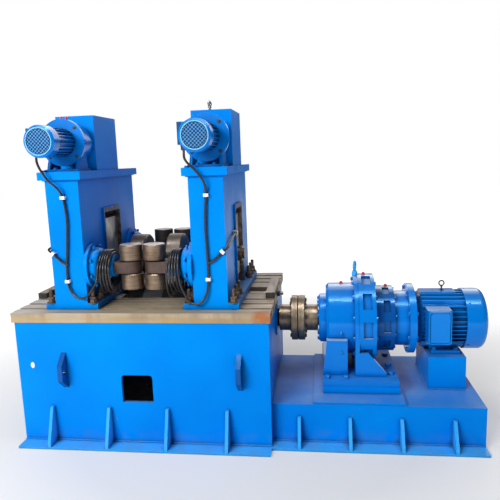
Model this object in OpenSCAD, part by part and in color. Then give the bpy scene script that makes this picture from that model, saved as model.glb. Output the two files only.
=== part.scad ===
// Straightening machine for welded H-beams: a slotted table on a welded base, two press columns
// that slide on it, a driven roller in the middle and a gear drive on its own base at the right.
// The beam runs along Y. Millimetres, +Z up, origin on the floor under the middle of the table.

/* [Base] */
// Width of the base box, along X
base_w = 1322; // [1200:2:1500]
// Depth of the base box, along Y
base_d = 930; // [880:2:1100]
// Thickness of the base walls
base_wall = 20; // [12:1:30]
// Thickness of the floor plate
floor_t = 12; // [8:1:20]
// How far the floor plate reaches in front of the walls
floor_reach = 83; // [60:1:120]
// Width of the hand window in the front and back walls
window_w = 165; // [100:1:240]
// Height of the hand window
window_h = 148; // [100:1:200]
// Height of the window's sill over the floor
window_z = 231; // [215:1:300]
// Sideways place of the window's middle
window_x = -25; // [-60:1:60]
// Radius of the window's upper corners
window_r = 18; // [5:1:40]

/* [Gussets and lugs] */
// Thickness of the gussets
gusset_t = 16; // [8:1:24]
// Height of the base gussets over the floor
gusset_h = 205; // [120:1:212]
// Distance between the base gussets
gusset_pitch = 310; // [260:1:340]
// Height of the drive base gussets over the floor
drive_gusset_h = 150; // [80:1:190]
// Distance between the drive base gussets
drive_gusset_pitch = 254; // [200:1:280]
// Thickness of a lifting lug
lug_t = 25; // [15:1:40]
// Height of a lifting lug's root
lug_h = 192; // [140:1:240]
// How far a lifting lug stands out
lug_reach = 60; // [45:1:78]
// Radius of the hole in a lifting lug
lug_hole_r = 18; // [10:1:22]
// Height of the lugs' middle over the floor
lug_z = 402; // [350:1:480]

/* [Table] */
// Height of the table's top over the floor
table_z = 710; // [680:1:800]
// Thickness of the table plate
table_t = 51; // [46:1:70]
// How far the table reaches past the base at its two ends
table_end_over = 10; // [0:1:40]
// How far the table reaches past the base in front and behind
table_side_over = 12; // [0:1:40]
// Width of a T-slot's neck
slot_neck_w = 22; // [14:1:28]
// Depth of a T-slot's neck
slot_neck_h = 20; // [12:1:24]
// Width of a T-slot's head
slot_head_w = 38; // [30:1:50]
// Height of a T-slot's head
slot_head_h = 16; // [10:1:20]
// Width of the land between the roller's well and the inner T-slots
slot_land = 13; // [8:1:20]
// Distance of the outer T-slots from the table's front and back edges
slot_edge = 85; // [75:1:85]
// Width of the channel for the adjusting screws
channel_w = 150; // [110:2:180]
// Depth of the channel for the adjusting screws
channel_h = 36; // [30:1:40]

/* [Driven roller] */
// Height of the drive axis over the floor
drive_z = 550; // [535:1:555]
// Radius of the driven roller
roller_r = 195; // [180:1:195]
// Length of the driven roller
roller_l = 340; // [240:2:360]
// Radius of the roller shaft
shaft_r = 50; // [30:1:55]

/* [Columns] */
// Distance of each column's middle from the machine's middle
column_x = 368; // [360:1:372]
// Width of a column, along X
column_w = 174; // [150:2:200]
// Depth of a column, along Y
column_d = 804; // [760:2:860]
// Height of a column's top over the floor
column_top = 1379; // [1330:1:1450]
// Width of the slot that guides the press slide
guide_w = 224; // [200:2:244]
// Height of the lintel over the slot
lintel_h = 193; // [180:1:210]
// Thickness of the foot plate
foot_t = 32; // [28:1:40]
// How far the foot plate reaches past the column, left and right
foot_over = 54; // [45:1:60]
// Thickness of the cap plate
cap_t = 40; // [20:1:60]
// How far the cap plate reaches past the column
cap_over = 25; // [0:1:40]

/* [Press slides] */
// Room over the slide in its slot
slide_room = 41; // [41:1:60]
// Height of the slide's lower face over the floor
slide_z = 800; // [795:1:805]
// Height of the press roller's axis over the floor
press_z = 925; // [920:1:930]
// Radius of the press roller
press_r = 120; // [90:1:122]
// Width of the press roller
press_l = 90; // [60:1:110]
// Radius of the press roller's shaft
press_shaft_r = 30; // [20:1:35]
// Radius of the jack screw
jack_r = 25; // [15:1:30]

/* [Guide rollers] */
// Distance of the guide rollers from the machine's middle, along Y
guide_y = 310; // [295:1:325]
// Height of the guide arms' middle over the floor
arm_z = 918; // [912:1:930]
// Thickness of a guide arm
arm_t = 59; // [50:1:64]
// Width of a guide arm
arm_w = 104; // [80:1:112]
// Radius of the guide rollers
guide_r = 58; // [45:1:58]
// Height of one guide roller
guide_h = 82; // [60:1:84]
// Gap between the left and the right guide rollers
web_gap = 10; // [10:1:40]
// Radius of the guide roller's spindle
spindle_r = 18; // [12:1:24]

/* [Jack drive] */
// Width of the jack's gear housing, along X
gear_w = 210; // [180:2:226]
// Depth of the gear housing, along Y
gear_d = 313; // [280:1:340]
// Height of the gear housing
gear_h = 287; // [260:1:300]
// Radius of the jack motor's flange
jack_flange_r = 118; // [100:1:125]
// Radius of the jack motor's body under its fins
jack_body_r = 62; // [50:1:66]
// Height of the fins on the jack motor's body
jack_fin_h = 9; // [4:1:9]
// Radius of the jack motor's fan cowl
jack_cowl_r = 76; // [72:1:85]
// Length of the jack motor's finned body
jack_body_l = 175; // [170:1:220]
// Length of the jack motor's fan cowl
jack_cowl_l = 67; // [50:1:90]

/* [Gear drive] */
// Radius of the coupling's hubs
hub_r = 73; // [65:1:80]
// Radius of the coupling's flanges
coupling_r = 126; // [110:1:128]
// Radius of the reducer's output housing
output_r = 197; // [170:1:200]
// Radius of the pin gear ring
ring_r = 248; // [220:1:249]
// Radius of the second stage's ring
stage_r = 180; // [160:1:200]
// Radius of the motor adapter's flange
adapter_r = 192; // [175:1:210]
// Radius of the drive motor's body under its fins
motor_r = 140; // [120:1:142]
// Height of the fins on the drive motor's body
motor_fin_h = 17; // [8:1:18]
// Radius of the drive motor's fan cowl
motor_cowl_r = 165; // [162:1:175]

/* [Drive base] */
// Length of the drive base, along X
drive_base_l = 1052; // [1010:1:1150]
// Height of the drive base's top over the floor
drive_base_z = 212; // [180:1:216]
// Distance of the drive base's front wall from the drive axis
drive_front = 403; // [380:1:420]
// Distance of the drive base's back wall from the drive axis
drive_back = 300; // [295:1:403]
// Thickness of the drive base's plates
drive_wall = 14; // [8:1:20]

/* [Cables] */
// Diameter of the motor cables
cable_d = 12; // [8:1:14]

/* [Hidden] */
// Clearances between pieces
fit_gap = 0.1;
run_gap = 0.3;
slide_gap = 0.5;
clear_gap = 5;
eps = 1;

// Base and table
wall_top = table_z - table_t;
table_w = base_w + 2 * table_end_over;
table_d = base_d + 2 * table_side_over;
well_end_gap = 20;
well_side_gap = 8;
well_w = roller_l + 2 * well_end_gap;
well_half_d = sqrt(pow(roller_r, 2) - pow(wall_top - drive_z, 2)) + well_side_gap;
slot_count = 3;
slot_inner_y = well_half_d + slot_land + slot_head_w / 2;
slot_pitch = (table_d / 2 - slot_edge - slot_inner_y) / (slot_count - 1);
t_slots = [for (k = [0 : slot_count - 1], s = [-1, 1]) s * (slot_inner_y + k * slot_pitch)];
gusset_count = 4;
gusset_first_x = window_x - gusset_pitch * (gusset_count - 1) / 2;
gusset_tip_h = 20;
lug_xs = [-408, 510];
lug_tip_h = 80;

// Drive line, from left to right along the drive axis
bearing_wall = 20;
bearing_flange = 30;
bearing_neck_r = shaft_r + bearing_wall;
bearing_flange_r = bearing_neck_r + bearing_flange;
bearing_inside_l = 50;
hub_l = 69;
hub_room = 11;
hub_right_more = 4;
coupling_flange_l = 37;
coupling_edge = 2;
coupling_gap = 3;
hub_left_x = base_w / 2 + table_end_over + hub_room;
flange_left_x = hub_left_x + hub_l;
flange_mid_x = flange_left_x + coupling_flange_l;
flange_right_x = flange_mid_x + coupling_flange_l;
hub_right_x = flange_right_x + hub_l + hub_right_more;
output_shaft_r = 45;
output_shaft_in = 50;
cover_x = hub_right_x + clear_gap;
cover_l = 40;
cover_r = 135;
cover_edge = 8;
output_edge = 14;
output_flange_r = 240;
output_flange_l = 22;
output_x = cover_x + cover_l;
output_l = 171;
ring_x = output_x + output_l;
ring_l = 88;
stage_x = ring_x + ring_l;
stage_l = 104;
adapter_x = stage_x + stage_l;
adapter_cone_l = 74;
adapter_flange_l = 35;
motor_x = adapter_x + adapter_cone_l + adapter_flange_l;
motor_neck_l = 36;
motor_neck_in = 22;
motor_l = 257;
motor_cowl_x = motor_x + motor_l;
motor_cowl_l = 110;
motor_cowl_edge = 34;
motor_fin_t = 5;
motor_fin_pitch = 24;
motor_fins = 4;
motor_pad_w = 90;
motor_foot_t = 20;
motor_web_d = 95;
pocket_count = 10;
pocket_share = 0.18;
ring_lips = [20, 20];
ring_pocket = 22;
stage_lips = [44, 24];
stage_pocket = 16;
adapter_seat_in = 30;
adapter_waist_in = 40;
terminal_in = 46;
terminal_x = motor_x + terminal_in;
terminal_l = 120;
terminal_reach = 217;
terminal_drop = 80;
terminal_low = drive_z - terminal_drop;
terminal_h = 180;
terminal_bury = 9;
terminal_lid_t = 10;
terminal_lid_in = 2;
terminal_panel_t = 5;
terminal_panel_in = 12;
terminal_round = 12;

// Drive base
drive_x = base_w / 2;
drive_end_x = drive_x + drive_base_l;
drive_gusset_first = 138;
drive_gusset_x = drive_x + drive_gusset_first;
pad_t = 12;
pad_left = 50;
pad_right = 20;
plinth_t = 36;
sole_t = 38;
sole_z = drive_base_z + pad_t + plinth_t;
sole_top = sole_z + sole_t;
sole_x = output_x - 22;
sole_l = 390;
sole_half_d = 290;
leg_x = output_x;
leg_l = 109;
leg_flare = 20;
leg_half_d = 225;
leg_drop = 62;
leg_top = drive_z - leg_drop;
rib_x = ring_x;
rib_l = 138;
rib_top_l = 46;
rib_h = 128;
rib_t = 20;
rib_y = output_flange_r - rib_t;
stand_drop = 160;
stand_top = drive_z - stand_drop;
stand_l = 190;
stand_in = 59;
stand_x = motor_x + stand_in;
stand_half_d = 187;

// Columns
foot_z = table_z;
column_z = foot_z + foot_t;
cap_top = column_top + cap_t;
guide_top = column_top - lintel_h;
slot_rim_w = 10;
slot_rim_h = 24;
slot_rim_t = 12;
foot_w = column_w + 2 * foot_over;
bracket_l = 49;
bracket_half_d = 184;
bracket_h = 32;
bracket_x = table_w / 2 - bracket_l;
collar_r = channel_h / 2 - eps;
collar_l = 14;
adjust_r = 10;
adjust_z = table_z - channel_h / 2;
adjust_stub = 33;
adjust_end = table_w / 2 + adjust_stub;
nut_half_w = 40;
nut_half_d = 50;

// Press slides and guide rollers, in the column's own frame with the machine's middle towards -X
slide_half_w = column_w / 2 - 10;
slide_half_d = guide_w / 2 - slide_gap;
slide_top = guide_top - slide_room;
jack_bore_l = 140;
jack_grip = 45;
press_in_x = 60;
press_edge = 8;
press_nut_r = 42;
press_nut_l = 30;
press_nut_x = slide_half_w + clear_gap;
press_shaft_end = press_nut_x + press_nut_l + 12;
boss_z = 925;
boss_flange_r = 117;
boss_flange_l = 20;
boss_hub_r = 95;
boss_hub_l = 45;
boss_round = 30;
sleeve_r = 60;
sleeve_l = 70;
arm_root_x = -column_w / 2 - boss_flange_l - boss_hub_l - sleeve_l;
spindle_x = web_gap / 2 + guide_r - column_x;
washer_r = 30;
washer_t = clear_gap;
roller_edge = 4;

// Jack drives
jack_axis_h = 144;
jack_axis_z = cap_top + jack_axis_h;
gear_back_y = 125;
gear_front_y = gear_back_y - gear_d;
bell_r = 95;
bell_l = 147;
jack_flange_t = 16;
jack_flange_y = gear_front_y - bell_l;
jack_body_y = jack_flange_y - jack_flange_t;
jack_cowl_y = jack_body_y - jack_body_l;
jack_fin_count = 24;
jack_fin_t = 4;
jack_rim = 10;
jack_grille_h = 4;
cheek_x = 68;
cheek_t = 14;
cheek_front = 40;
cheek_back = 90;
cheek_top_front = 5;
cheek_top_back = 70;
cheek_top_drop = 35;
jack_pad_half_w = 90;
jack_pad_over = 8;
jack_pad_t = 12;
box_in = 38;
box_out = 98;
box_d = 96;
box_h = 104;
box_y = -468;
box_lift = 106;
box_z = cap_top + box_lift;
gland_r = 11;
gland_l = 25;
gland_x = -82;
gland_z = box_z - gland_l;

// Motor cables, clipped to the column's front and wound round the front guide boss
clip_y = -column_d / 2 - cable_d;
lead_drop = 32;
function gland_lead(side) = [for (drop = [0, lead_drop])
    [side * column_x + gland_x, box_y, gland_z - drop]];
left_route = concat(gland_lead(-1), [
    [-438, clip_y - 49, 1430], [-410, clip_y - 41, 1380], [-372, clip_y - 22, 1335],
    [-360, clip_y, 1290], [-353, clip_y, 1245], [-349, clip_y, 1170],
    [-355, clip_y, 1095], [-362, clip_y, 1025], [-372, clip_y, 940], [-373, clip_y, 862],
    [-352, clip_y - 6, 800], [-300, clip_y - 16, 776], [-248, clip_y - 18, 808],
    [-216, clip_y - 12, 858], [-204, clip_y - 2, 900]
]);
right_route = concat(gland_lead(1), [
    [308, clip_y - 49, 1432], [345, clip_y - 37, 1390], [369, clip_y - 16, 1340],
    [370, clip_y, 1285], [364, clip_y, 1210], [361, clip_y, 1140],
    [361, clip_y, 1080], [363, clip_y, 1010], [364, clip_y, 950], [363, clip_y, 868],
    [358, clip_y - 4, 815], [336, clip_y - 12, 765], [298, clip_y - 18, 744],
    [252, clip_y - 18, 778], [222, clip_y - 12, 845], [206, clip_y - 2, 900]
]);
left_clips = [[-360, 1290], [-373, 862]];
right_clips = [[370, 1285], [363, 868]];
clip_half_w = 12;
clip_half_h = 8;
clip_gap = 3;
clip_wall = 4;

// Branch cables, drawn on the right column: from the motor cable round the corner to the slot
branch_start = [-5, clip_y, 948];
branch_clip = [72, 1006];
branch_rise = 10;
branch_side_x = column_w / 2 + cable_d;
branch_end = [branch_side_x, -guide_w / 2 - 18, 1066];
branch_route = [branch_start, [24, clip_y, 960], [48, clip_y, 981],
    [branch_clip[0], clip_y, branch_clip[1]],
    [branch_side_x - 3, clip_y + 7, 1024], [branch_side_x, clip_y + 34, 1031],
    [branch_side_x, (clip_y + branch_end[1]) / 2, 1049], branch_end];
route_steps = 3;
cable_sides = 10;
coil_turn_r = 100;
coil_half_t = 12;
coil_l = 60;
coil_z = boss_z + sleeve_r + 1 - coil_turn_r + coil_half_t;
coil_x = arm_root_x + sleeve_l / 2;

$fn = 64;
blue = "dodgerblue";
steel = "tan";

// Shared shapes

// A box from its lowest to its highest corner
module block(low, high) {
    translate(low) cube(high - low);
}

// A profile of [along, radius] points turned about the X axis
module turned_x(points) {
    rotate([0, 90, 0]) rotate_extrude() polygon([for (p = points) [p[1], p[0]]]);
}

// A round bar or hole along X between two places
module bar_x(from, to, r) {
    translate([from, 0, 0]) rotate([0, 90, 0]) cylinder(r = r, h = to - from);
}

// A round bar or hole along Y between two places
module bar_y(from, to, r) {
    translate([0, from, 0]) rotate([-90, 0, 0]) cylinder(r = r, h = to - from);
}

// A sheet whose outline lies in the YZ plane, centred on X
module yz_sheet(points, t) {
    rotate([90, 0, 90]) linear_extrude(t, center = true) polygon(points);
}

// What belongs to one column, drawn with the machine's middle towards -X
module on_column(side) {
    translate([side * column_x, 0, 0])
        if (side < 0) mirror([1, 0, 0]) children();
        else children();
}

// What is alike on both columns and not mirrored
module over_column(side) {
    translate([side * column_x, 0, 0]) children();
}

// Smooth curve through the route's points
function curve_point(a, b, c, d, t) =
    0.5 * (2 * b + (c - a) * t + (2 * a - 5 * b + 4 * c - d) * t * t
        + (3 * b - a - 3 * c + d) * t * t * t);
function smooth(route) = let (n = len(route)) concat(
    [for (i = [0 : n - 2], k = [0 : route_steps - 1])
        curve_point(route[max(i - 1, 0)], route[i], route[i + 1], route[min(i + 2, n - 1)],
            k / route_steps)],
    [route[n - 1]]);
function unit(v) = v / norm(v);
function heading(path, i) = unit(path[min(i + 1, len(path) - 1)] - path[max(i - 1, 0)]);
function ring_points(path, i, r) =
    let (t = heading(path, i), n = unit(cross([0, 1, 0], t)), b = cross(t, n))
    [for (k = [0 : cable_sides - 1])
        let (a = 360 * k / cable_sides) path[i] + r * (cos(a) * n + sin(a) * b)];

// A round cable along a route
module cable(route) {
    path = smooth(route);
    n = len(path);
    s = cable_sides;
    points = [for (i = [0 : n - 1]) each ring_points(path, i, cable_d / 2)];
    sides = [for (i = [0 : n - 2], k = [0 : s - 1])
        let (m = (k + 1) % s) each [
            [(i + 1) * s + m, i * s + m, i * s + k],
            [(i + 1) * s + k, (i + 1) * s + m, i * s + k]]];
    caps = [[for (k = [0 : s - 1]) k], [for (k = [s - 1 : -1 : 0]) (n - 1) * s + k]];
    polyhedron(points, concat(sides, caps));
}

// Base

module floor_plate() color(blue) {
    half_d = base_d / 2 + floor_reach;
    block([-base_w / 2, -half_d, 0], [base_w / 2, half_d, floor_t]);
    block([drive_x - eps, -drive_front - floor_reach, 0], [drive_end_x, drive_back, floor_t]);
}

module window_cut() {
    low = window_x - window_w / 2;
    high = window_x + window_w / 2;
    top = window_z + window_h;
    rotate([90, 0, 0]) linear_extrude(base_wall + 2 * eps, center = true) {
        translate([low, window_z]) square([window_w, window_h - window_r]);
        translate([low + window_r, window_z]) square([window_w - 2 * window_r, window_h]);
        translate([low + window_r, top - window_r]) circle(window_r);
        translate([high - window_r, top - window_r]) circle(window_r);
    }
}

module base_long_wall(side) {
    middle = side * (base_d - base_wall) / 2;
    difference() {
        block([-base_w / 2, middle - base_wall / 2, floor_t],
            [base_w / 2, middle + base_wall / 2, wall_top]);
        translate([0, middle, 0]) window_cut();
    }
}

module base_end_wall(side) {
    middle = side * (base_w - base_wall) / 2;
    half_d = base_d / 2 - base_wall;
    difference() {
        block([middle - base_wall / 2, -half_d, floor_t], [middle + base_wall / 2, half_d, wall_top]);
        translate([0, 0, drive_z]) bar_x(middle - base_wall, middle + base_wall, bearing_neck_r + fit_gap);
    }
}

module base_front_wall() color(blue) base_long_wall(-1);
module base_back_wall() color(blue) base_long_wall(1);
module base_left_wall() color(blue) base_end_wall(-1);
module base_right_wall() color(blue) base_end_wall(1);

// One gusset with its upright edge on the wall at y = 0, reaching towards -Y
module gusset(h) {
    yz_sheet([[0, floor_t], [-floor_reach, floor_t], [-floor_reach, floor_t + gusset_tip_h],
        [-gusset_tip_h, h], [0, h]], gusset_t);
}

module gussets() color(blue) {
    for (k = [0 : gusset_count - 1]) translate([gusset_first_x + k * gusset_pitch, 0, 0]) {
        translate([0, -base_d / 2, 0]) gusset(gusset_h);
        translate([0, base_d / 2, 0]) mirror([0, 1, 0]) gusset(gusset_h);
    }
    for (k = [0 : gusset_count - 1])
        translate([drive_gusset_x + k * drive_gusset_pitch, -drive_front, 0]) gusset(drive_gusset_h);
}

module lug() {
    difference() {
        yz_sheet([[0, -lug_h / 2], [-lug_reach, -lug_tip_h / 2],
            [-lug_reach, lug_tip_h / 2], [0, lug_h / 2]], lug_t);
        translate([0, -lug_reach / 2, 0]) bar_x(-lug_t, lug_t, lug_hole_r);
    }
}

module lifting_lugs() color(blue)
    for (x = lug_xs) translate([x, 0, lug_z]) {
        translate([0, -base_d / 2, 0]) lug();
        translate([0, base_d / 2, 0]) mirror([0, 1, 0]) lug();
    }

module t_slot() {
    block([-table_w, -slot_neck_w / 2, -slot_neck_h - eps], [table_w, slot_neck_w / 2, eps]);
    block([-table_w, -slot_head_w / 2, -slot_neck_h - slot_head_h],
        [table_w, slot_head_w / 2, -slot_neck_h]);
}

module table_plate() color(steel) difference() {
    block([-table_w / 2, -table_d / 2, wall_top], [table_w / 2, table_d / 2, table_z]);
    block([-well_w / 2, -well_half_d, wall_top - eps], [well_w / 2, well_half_d, table_z + eps]);
    block([-table_w, -channel_w / 2, table_z - channel_h], [table_w, channel_w / 2, table_z + eps]);
    for (y = t_slots) translate([0, y, table_z]) t_slot();
}

module screw_brackets() color("dimgray")
    for (side = [-1, 1]) on_middle(side) difference() {
        far = bracket_x + bracket_l;
        union() {
            block([bracket_x, -bracket_half_d, table_z], [far, bracket_half_d, table_z + bracket_h]);
            block([bracket_x, -channel_w / 2 + fit_gap, table_z - channel_h + fit_gap],
                [far, channel_w / 2 - fit_gap, table_z + eps]);
            translate([0, 0, adjust_z]) bar_x(far - eps, far + collar_l, collar_r);
        }
        translate([0, 0, adjust_z]) bar_x(bracket_x - eps, far + collar_l + eps, adjust_r + run_gap);
    }

// What is alike at both ends of the machine, drawn at the right
module on_middle(side) {
    if (side < 0) mirror([1, 0, 0]) children();
    else children();
}

module shaft_bearings() color(blue)
    for (side = [-1, 1]) on_middle(side) translate([0, 0, drive_z]) difference() {
        union() {
            bar_x(base_w / 2 - base_wall - bearing_inside_l, base_w / 2 + eps, bearing_neck_r);
            bar_x(base_w / 2, base_w / 2 + table_end_over, bearing_flange_r);
        }
        bar_x(0, base_w, shaft_r + run_gap);
    }

// Drive base

module drive_top_plate() color(blue)
    block([drive_x, -drive_front, drive_base_z - drive_wall], [drive_end_x, drive_back, drive_base_z]);

module drive_side_walls() color(blue) {
    top = drive_base_z - drive_wall;
    block([drive_x, -drive_front, floor_t], [drive_end_x - drive_wall, -drive_front + drive_wall, top]);
    block([drive_x, drive_back - drive_wall, floor_t], [drive_end_x - drive_wall, drive_back, top]);
}

module drive_end_wall() color(blue)
    block([drive_end_x - drive_wall, -drive_front, floor_t],
        [drive_end_x, drive_back, drive_base_z - drive_wall]);

module reducer_plinth() color(blue) {
    low = drive_base_z;
    far = sole_x + sole_l;
    block([sole_x - pad_left, -drive_front + clear_gap, low],
        [far + pad_right, drive_back - clear_gap, low + pad_t]);
    block([sole_x, -sole_half_d, low + pad_t - eps], [far + clear_gap, sole_half_d, sole_z]);
}

// Gear reducer and motor, along the drive axis

// One foot of the reducer's output housing, with the flange's straight flank and the rib that stays it
module reducer_leg() {
    low = sole_top - eps;
    translate([0, leg_half_d, 0]) rotate([90, 0, 0]) linear_extrude(leg_half_d)
        polygon([[leg_x - leg_flare, low], [leg_x + leg_l, low],
            [leg_x + leg_l, leg_top], [leg_x, leg_top]]);
    block([ring_x - output_flange_l, 0, low], [ring_x, output_flange_r, drive_z]);
    translate([0, rib_y + rib_t, 0]) rotate([90, 0, 0]) linear_extrude(rib_t)
        polygon([[rib_x - eps, low], [rib_x + rib_l, low], [rib_x + rib_l, sole_top + rib_t],
            [rib_x + rib_top_l, sole_top + rib_h], [rib_x - eps, sole_top + rib_h]]);
}

module reducer_housing() color(blue) difference() {
    union() {
        translate([0, 0, drive_z]) turned_x([[cover_x, 0], [cover_x, cover_r - cover_edge],
            [cover_x + cover_edge, cover_r], [output_x, cover_r],
            [output_x, output_r - output_edge], [output_x + output_edge, output_r],
            [ring_x - output_flange_l, output_r], [ring_x - output_flange_l, output_flange_r],
            [ring_x, output_flange_r], [ring_x, 0]]);
        block([sole_x, -sole_half_d, sole_z], [sole_x + sole_l, sole_half_d, sole_top]);
        reducer_leg();
        mirror([0, 1, 0]) reducer_leg();
    }
    translate([0, 0, drive_z])
        bar_x(cover_x - eps, output_x + output_shaft_in + clear_gap, output_shaft_r + run_gap);
}

// A pin gear ring with a left and a right lip and pockets round its rim
module pocket_ring(x, l, r, lips, depth) {
    translate([0, 0, drive_z]) difference() {
        bar_x(x, x + l, r);
        for (k = [0 : pocket_count - 1]) rotate([360 * (k + 0.5) / pocket_count, 0, 0])
            block([x + lips[0], -r * pocket_share, r - depth],
                [x + l - lips[1], r * pocket_share, r + depth]);
    }
}

module pin_gear_ring() color(blue) pocket_ring(ring_x, ring_l, ring_r, ring_lips, ring_pocket);

module second_stage_ring() color(blue) pocket_ring(stage_x, stage_l, stage_r, stage_lips, stage_pocket);

module motor_adapter() color(blue)
    translate([0, 0, drive_z]) turned_x([[adapter_x, 0], [adapter_x, stage_r - adapter_seat_in],
        [adapter_x + adapter_cone_l, adapter_r - adapter_waist_in],
        [adapter_x + adapter_cone_l, adapter_r], [motor_x, adapter_r], [motor_x, 0]]);

// Cooling fins that lie flat at the motor's sides and stand upright over and under it
module motor_fins() intersection() {
    fin_x = motor_x + motor_neck_l;
    half = motor_fin_t / 2;
    reach = motor_cowl_r;
    bar_x(fin_x, motor_cowl_x, motor_r + motor_fin_h);
    for (k = [-motor_fins : motor_fins]) {
        at = k * motor_fin_pitch;
        block([fin_x, -reach, at - half], [motor_cowl_x, reach, at + half]);
        block([fin_x, at - half, -reach], [motor_cowl_x, at + half, reach]);
    }
}

module drive_motor() color(blue) difference() {
    union() {
        translate([0, 0, drive_z]) {
            turned_x([[motor_x, 0], [motor_x, motor_r - motor_neck_in],
                [motor_x + motor_neck_l, motor_r], [motor_cowl_x, motor_r], [motor_cowl_x, 0]]);
            motor_fins();
            block([motor_x + motor_neck_l, -motor_pad_w / 2, 0],
                [motor_cowl_x - motor_neck_l, motor_pad_w / 2, motor_r + motor_fin_h]);
        }
        block([stand_x + motor_foot_t, -motor_r, stand_top],
            [stand_x + stand_l - motor_foot_t, motor_r, stand_top + motor_foot_t]);
        block([stand_x + motor_foot_t, -motor_web_d, stand_top],
            [stand_x + stand_l - motor_foot_t, motor_web_d, drive_z]);
    }
    block([motor_x, -motor_cowl_r, stand_top - motor_cowl_r],
        [motor_cowl_x + eps, motor_cowl_r, stand_top]);
    terminal_seat();
}

// The fan cowl, turned with a round edge at its far end
module drive_motor_cowl() color(blue)
    translate([0, 0, drive_z]) rotate([0, 90, 0]) rotate_extrude() translate([0, motor_cowl_x]) {
        square([motor_cowl_r, motor_cowl_l - motor_cowl_edge]);
        square([motor_cowl_r - motor_cowl_edge, motor_cowl_l]);
        translate([motor_cowl_r - motor_cowl_edge, motor_cowl_l - motor_cowl_edge]) circle(motor_cowl_edge);
    }

// The place on the motor's side where the terminal box is seated
module terminal_seat() {
    block([terminal_x, -terminal_reach, terminal_low],
        [terminal_x + terminal_l, -motor_r + terminal_bury, terminal_low + terminal_h]);
}

// A sheet with rounded corners, set in all round from the terminal box's outline
module lid_sheet(in, near, t) {
    l = terminal_l - 2 * in;
    h = terminal_h - 2 * in;
    r = terminal_round;
    translate([terminal_x + in, near, terminal_low + in]) rotate([90, 0, 0]) linear_extrude(t) {
        translate([r, 0]) square([l - 2 * r, h]);
        translate([0, r]) square([l, h - 2 * r]);
        for (x = [r, l - r], z = [r, h - r]) translate([x, z]) circle(r);
    }
}

module drive_terminal_box() color(blue) {
    terminal_seat();
    lid_sheet(terminal_lid_in, -terminal_reach, terminal_lid_t);
    lid_sheet(terminal_panel_in, -terminal_reach - terminal_lid_t, terminal_panel_t);
}

module motor_stand() color(blue)
    block([stand_x, -stand_half_d, drive_base_z], [stand_x + stand_l, stand_half_d, stand_top]);

// Drive line

module main_roller() color("silver") translate([0, 0, drive_z])
    turned_x([[-base_w / 2, 0], [-base_w / 2, shaft_r], [-roller_l / 2, shaft_r],
        [-roller_l / 2, roller_r], [roller_l / 2, roller_r], [roller_l / 2, shaft_r],
        [flange_mid_x, shaft_r], [flange_mid_x, 0]]);

// The turned outline of a coupling half, from the flange's meeting face out to its hub's end
function coupling_outline(meet, back, hub_end, out) = [[meet, 0], [meet, hub_r],
    [meet + out * coupling_gap / 2, hub_r], [meet + out * coupling_gap / 2, coupling_r - coupling_edge],
    [meet + out * (coupling_gap / 2 + coupling_edge), coupling_r], [back - out * coupling_edge, coupling_r],
    [back, coupling_r - coupling_edge], [back, hub_r], [hub_end - out * coupling_edge, hub_r],
    [hub_end, hub_r - coupling_edge], [hub_end, 0]];

module coupling_left_half() color(steel) translate([0, 0, drive_z]) difference() {
    turned_x(coupling_outline(flange_mid_x, flange_left_x, hub_left_x, -1));
    bar_x(hub_left_x - eps, flange_mid_x + eps, shaft_r + fit_gap);
}

module coupling_right_half() color(steel) translate([0, 0, drive_z]) {
    turned_x(coupling_outline(flange_mid_x, flange_right_x, hub_right_x, 1));
    bar_x(flange_mid_x, output_x + output_shaft_in, output_shaft_r);
}

// Column pieces, each drawn in the right column's place with the machine's middle towards -X

// The column's box with a raised rim round its slot on both faces
module column_frame() difference() {
    rim_x = column_w / 2 + slot_rim_t;
    rim_y = guide_w / 2 + slot_rim_w;
    union() {
        block([-column_w / 2, -column_d / 2, column_z], [column_w / 2, column_d / 2, column_top]);
        block([-rim_x, -rim_y, column_z], [rim_x, rim_y, guide_top + slot_rim_h]);
    }
    block([-column_w, -guide_w / 2, column_z - eps], [column_w, guide_w / 2, guide_top]);
    translate([0, 0, guide_top - eps]) cylinder(r = jack_r + run_gap, h = column_top - guide_top + 2 * eps);
}

// The foot plate, with the nut of the adjusting screw under it in the table's channel
module foot_plate() {
    block([-foot_w / 2, -column_d / 2, foot_z], [foot_w / 2, column_d / 2, column_z]);
    block([-nut_half_w, -nut_half_d, foot_z - channel_h + clear_gap],
        [nut_half_w, nut_half_d, foot_z + eps]);
}

module cap_plate() difference() {
    half_w = column_w / 2 + cap_over;
    half_d = column_d / 2 + cap_over;
    block([-half_w, -half_d, column_top], [half_w, half_d, cap_top]);
    translate([0, 0, column_top - eps]) cylinder(r = jack_r + run_gap, h = cap_t + 2 * eps);
}

module screws() {
    translate([0, 0, slide_top - jack_grip]) cylinder(r = jack_r, h = cap_top - slide_top + jack_grip);
    translate([0, 0, adjust_z]) bar_x(nut_half_w, adjust_end - column_x, adjust_r);
}

module guide_bosses()
    for (s = [-1, 1]) translate([0, s * guide_y, boss_z]) mirror([1, 0, 0]) {
        face = column_w / 2;
        hub = face + boss_flange_l;
        round_x = hub + boss_hub_l - boss_round;
        round_r = boss_hub_r - boss_round;
        turned_x(concat([[face, 0], [face, boss_flange_r], [hub, boss_flange_r], [hub, boss_hub_r]],
            [for (a = [0 : 15 : 90]) [round_x + boss_round * sin(a), round_r + boss_round * cos(a)]],
            [[hub + boss_hub_l, sleeve_r], [-arm_root_x, sleeve_r], [-arm_root_x, 0]]));
    }

module guide_arms()
    for (s = [-1, 1]) translate([0, s * guide_y, arm_z - arm_t / 2]) difference() {
        union() {
            block([spindle_x, -arm_w / 2, 0], [arm_root_x, arm_w / 2, arm_t]);
            translate([spindle_x, 0, 0]) cylinder(r = arm_w / 2, h = arm_t);
        }
        translate([spindle_x, 0, -eps]) cylinder(r = spindle_r + run_gap, h = arm_t + 2 * eps);
    }

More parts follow.
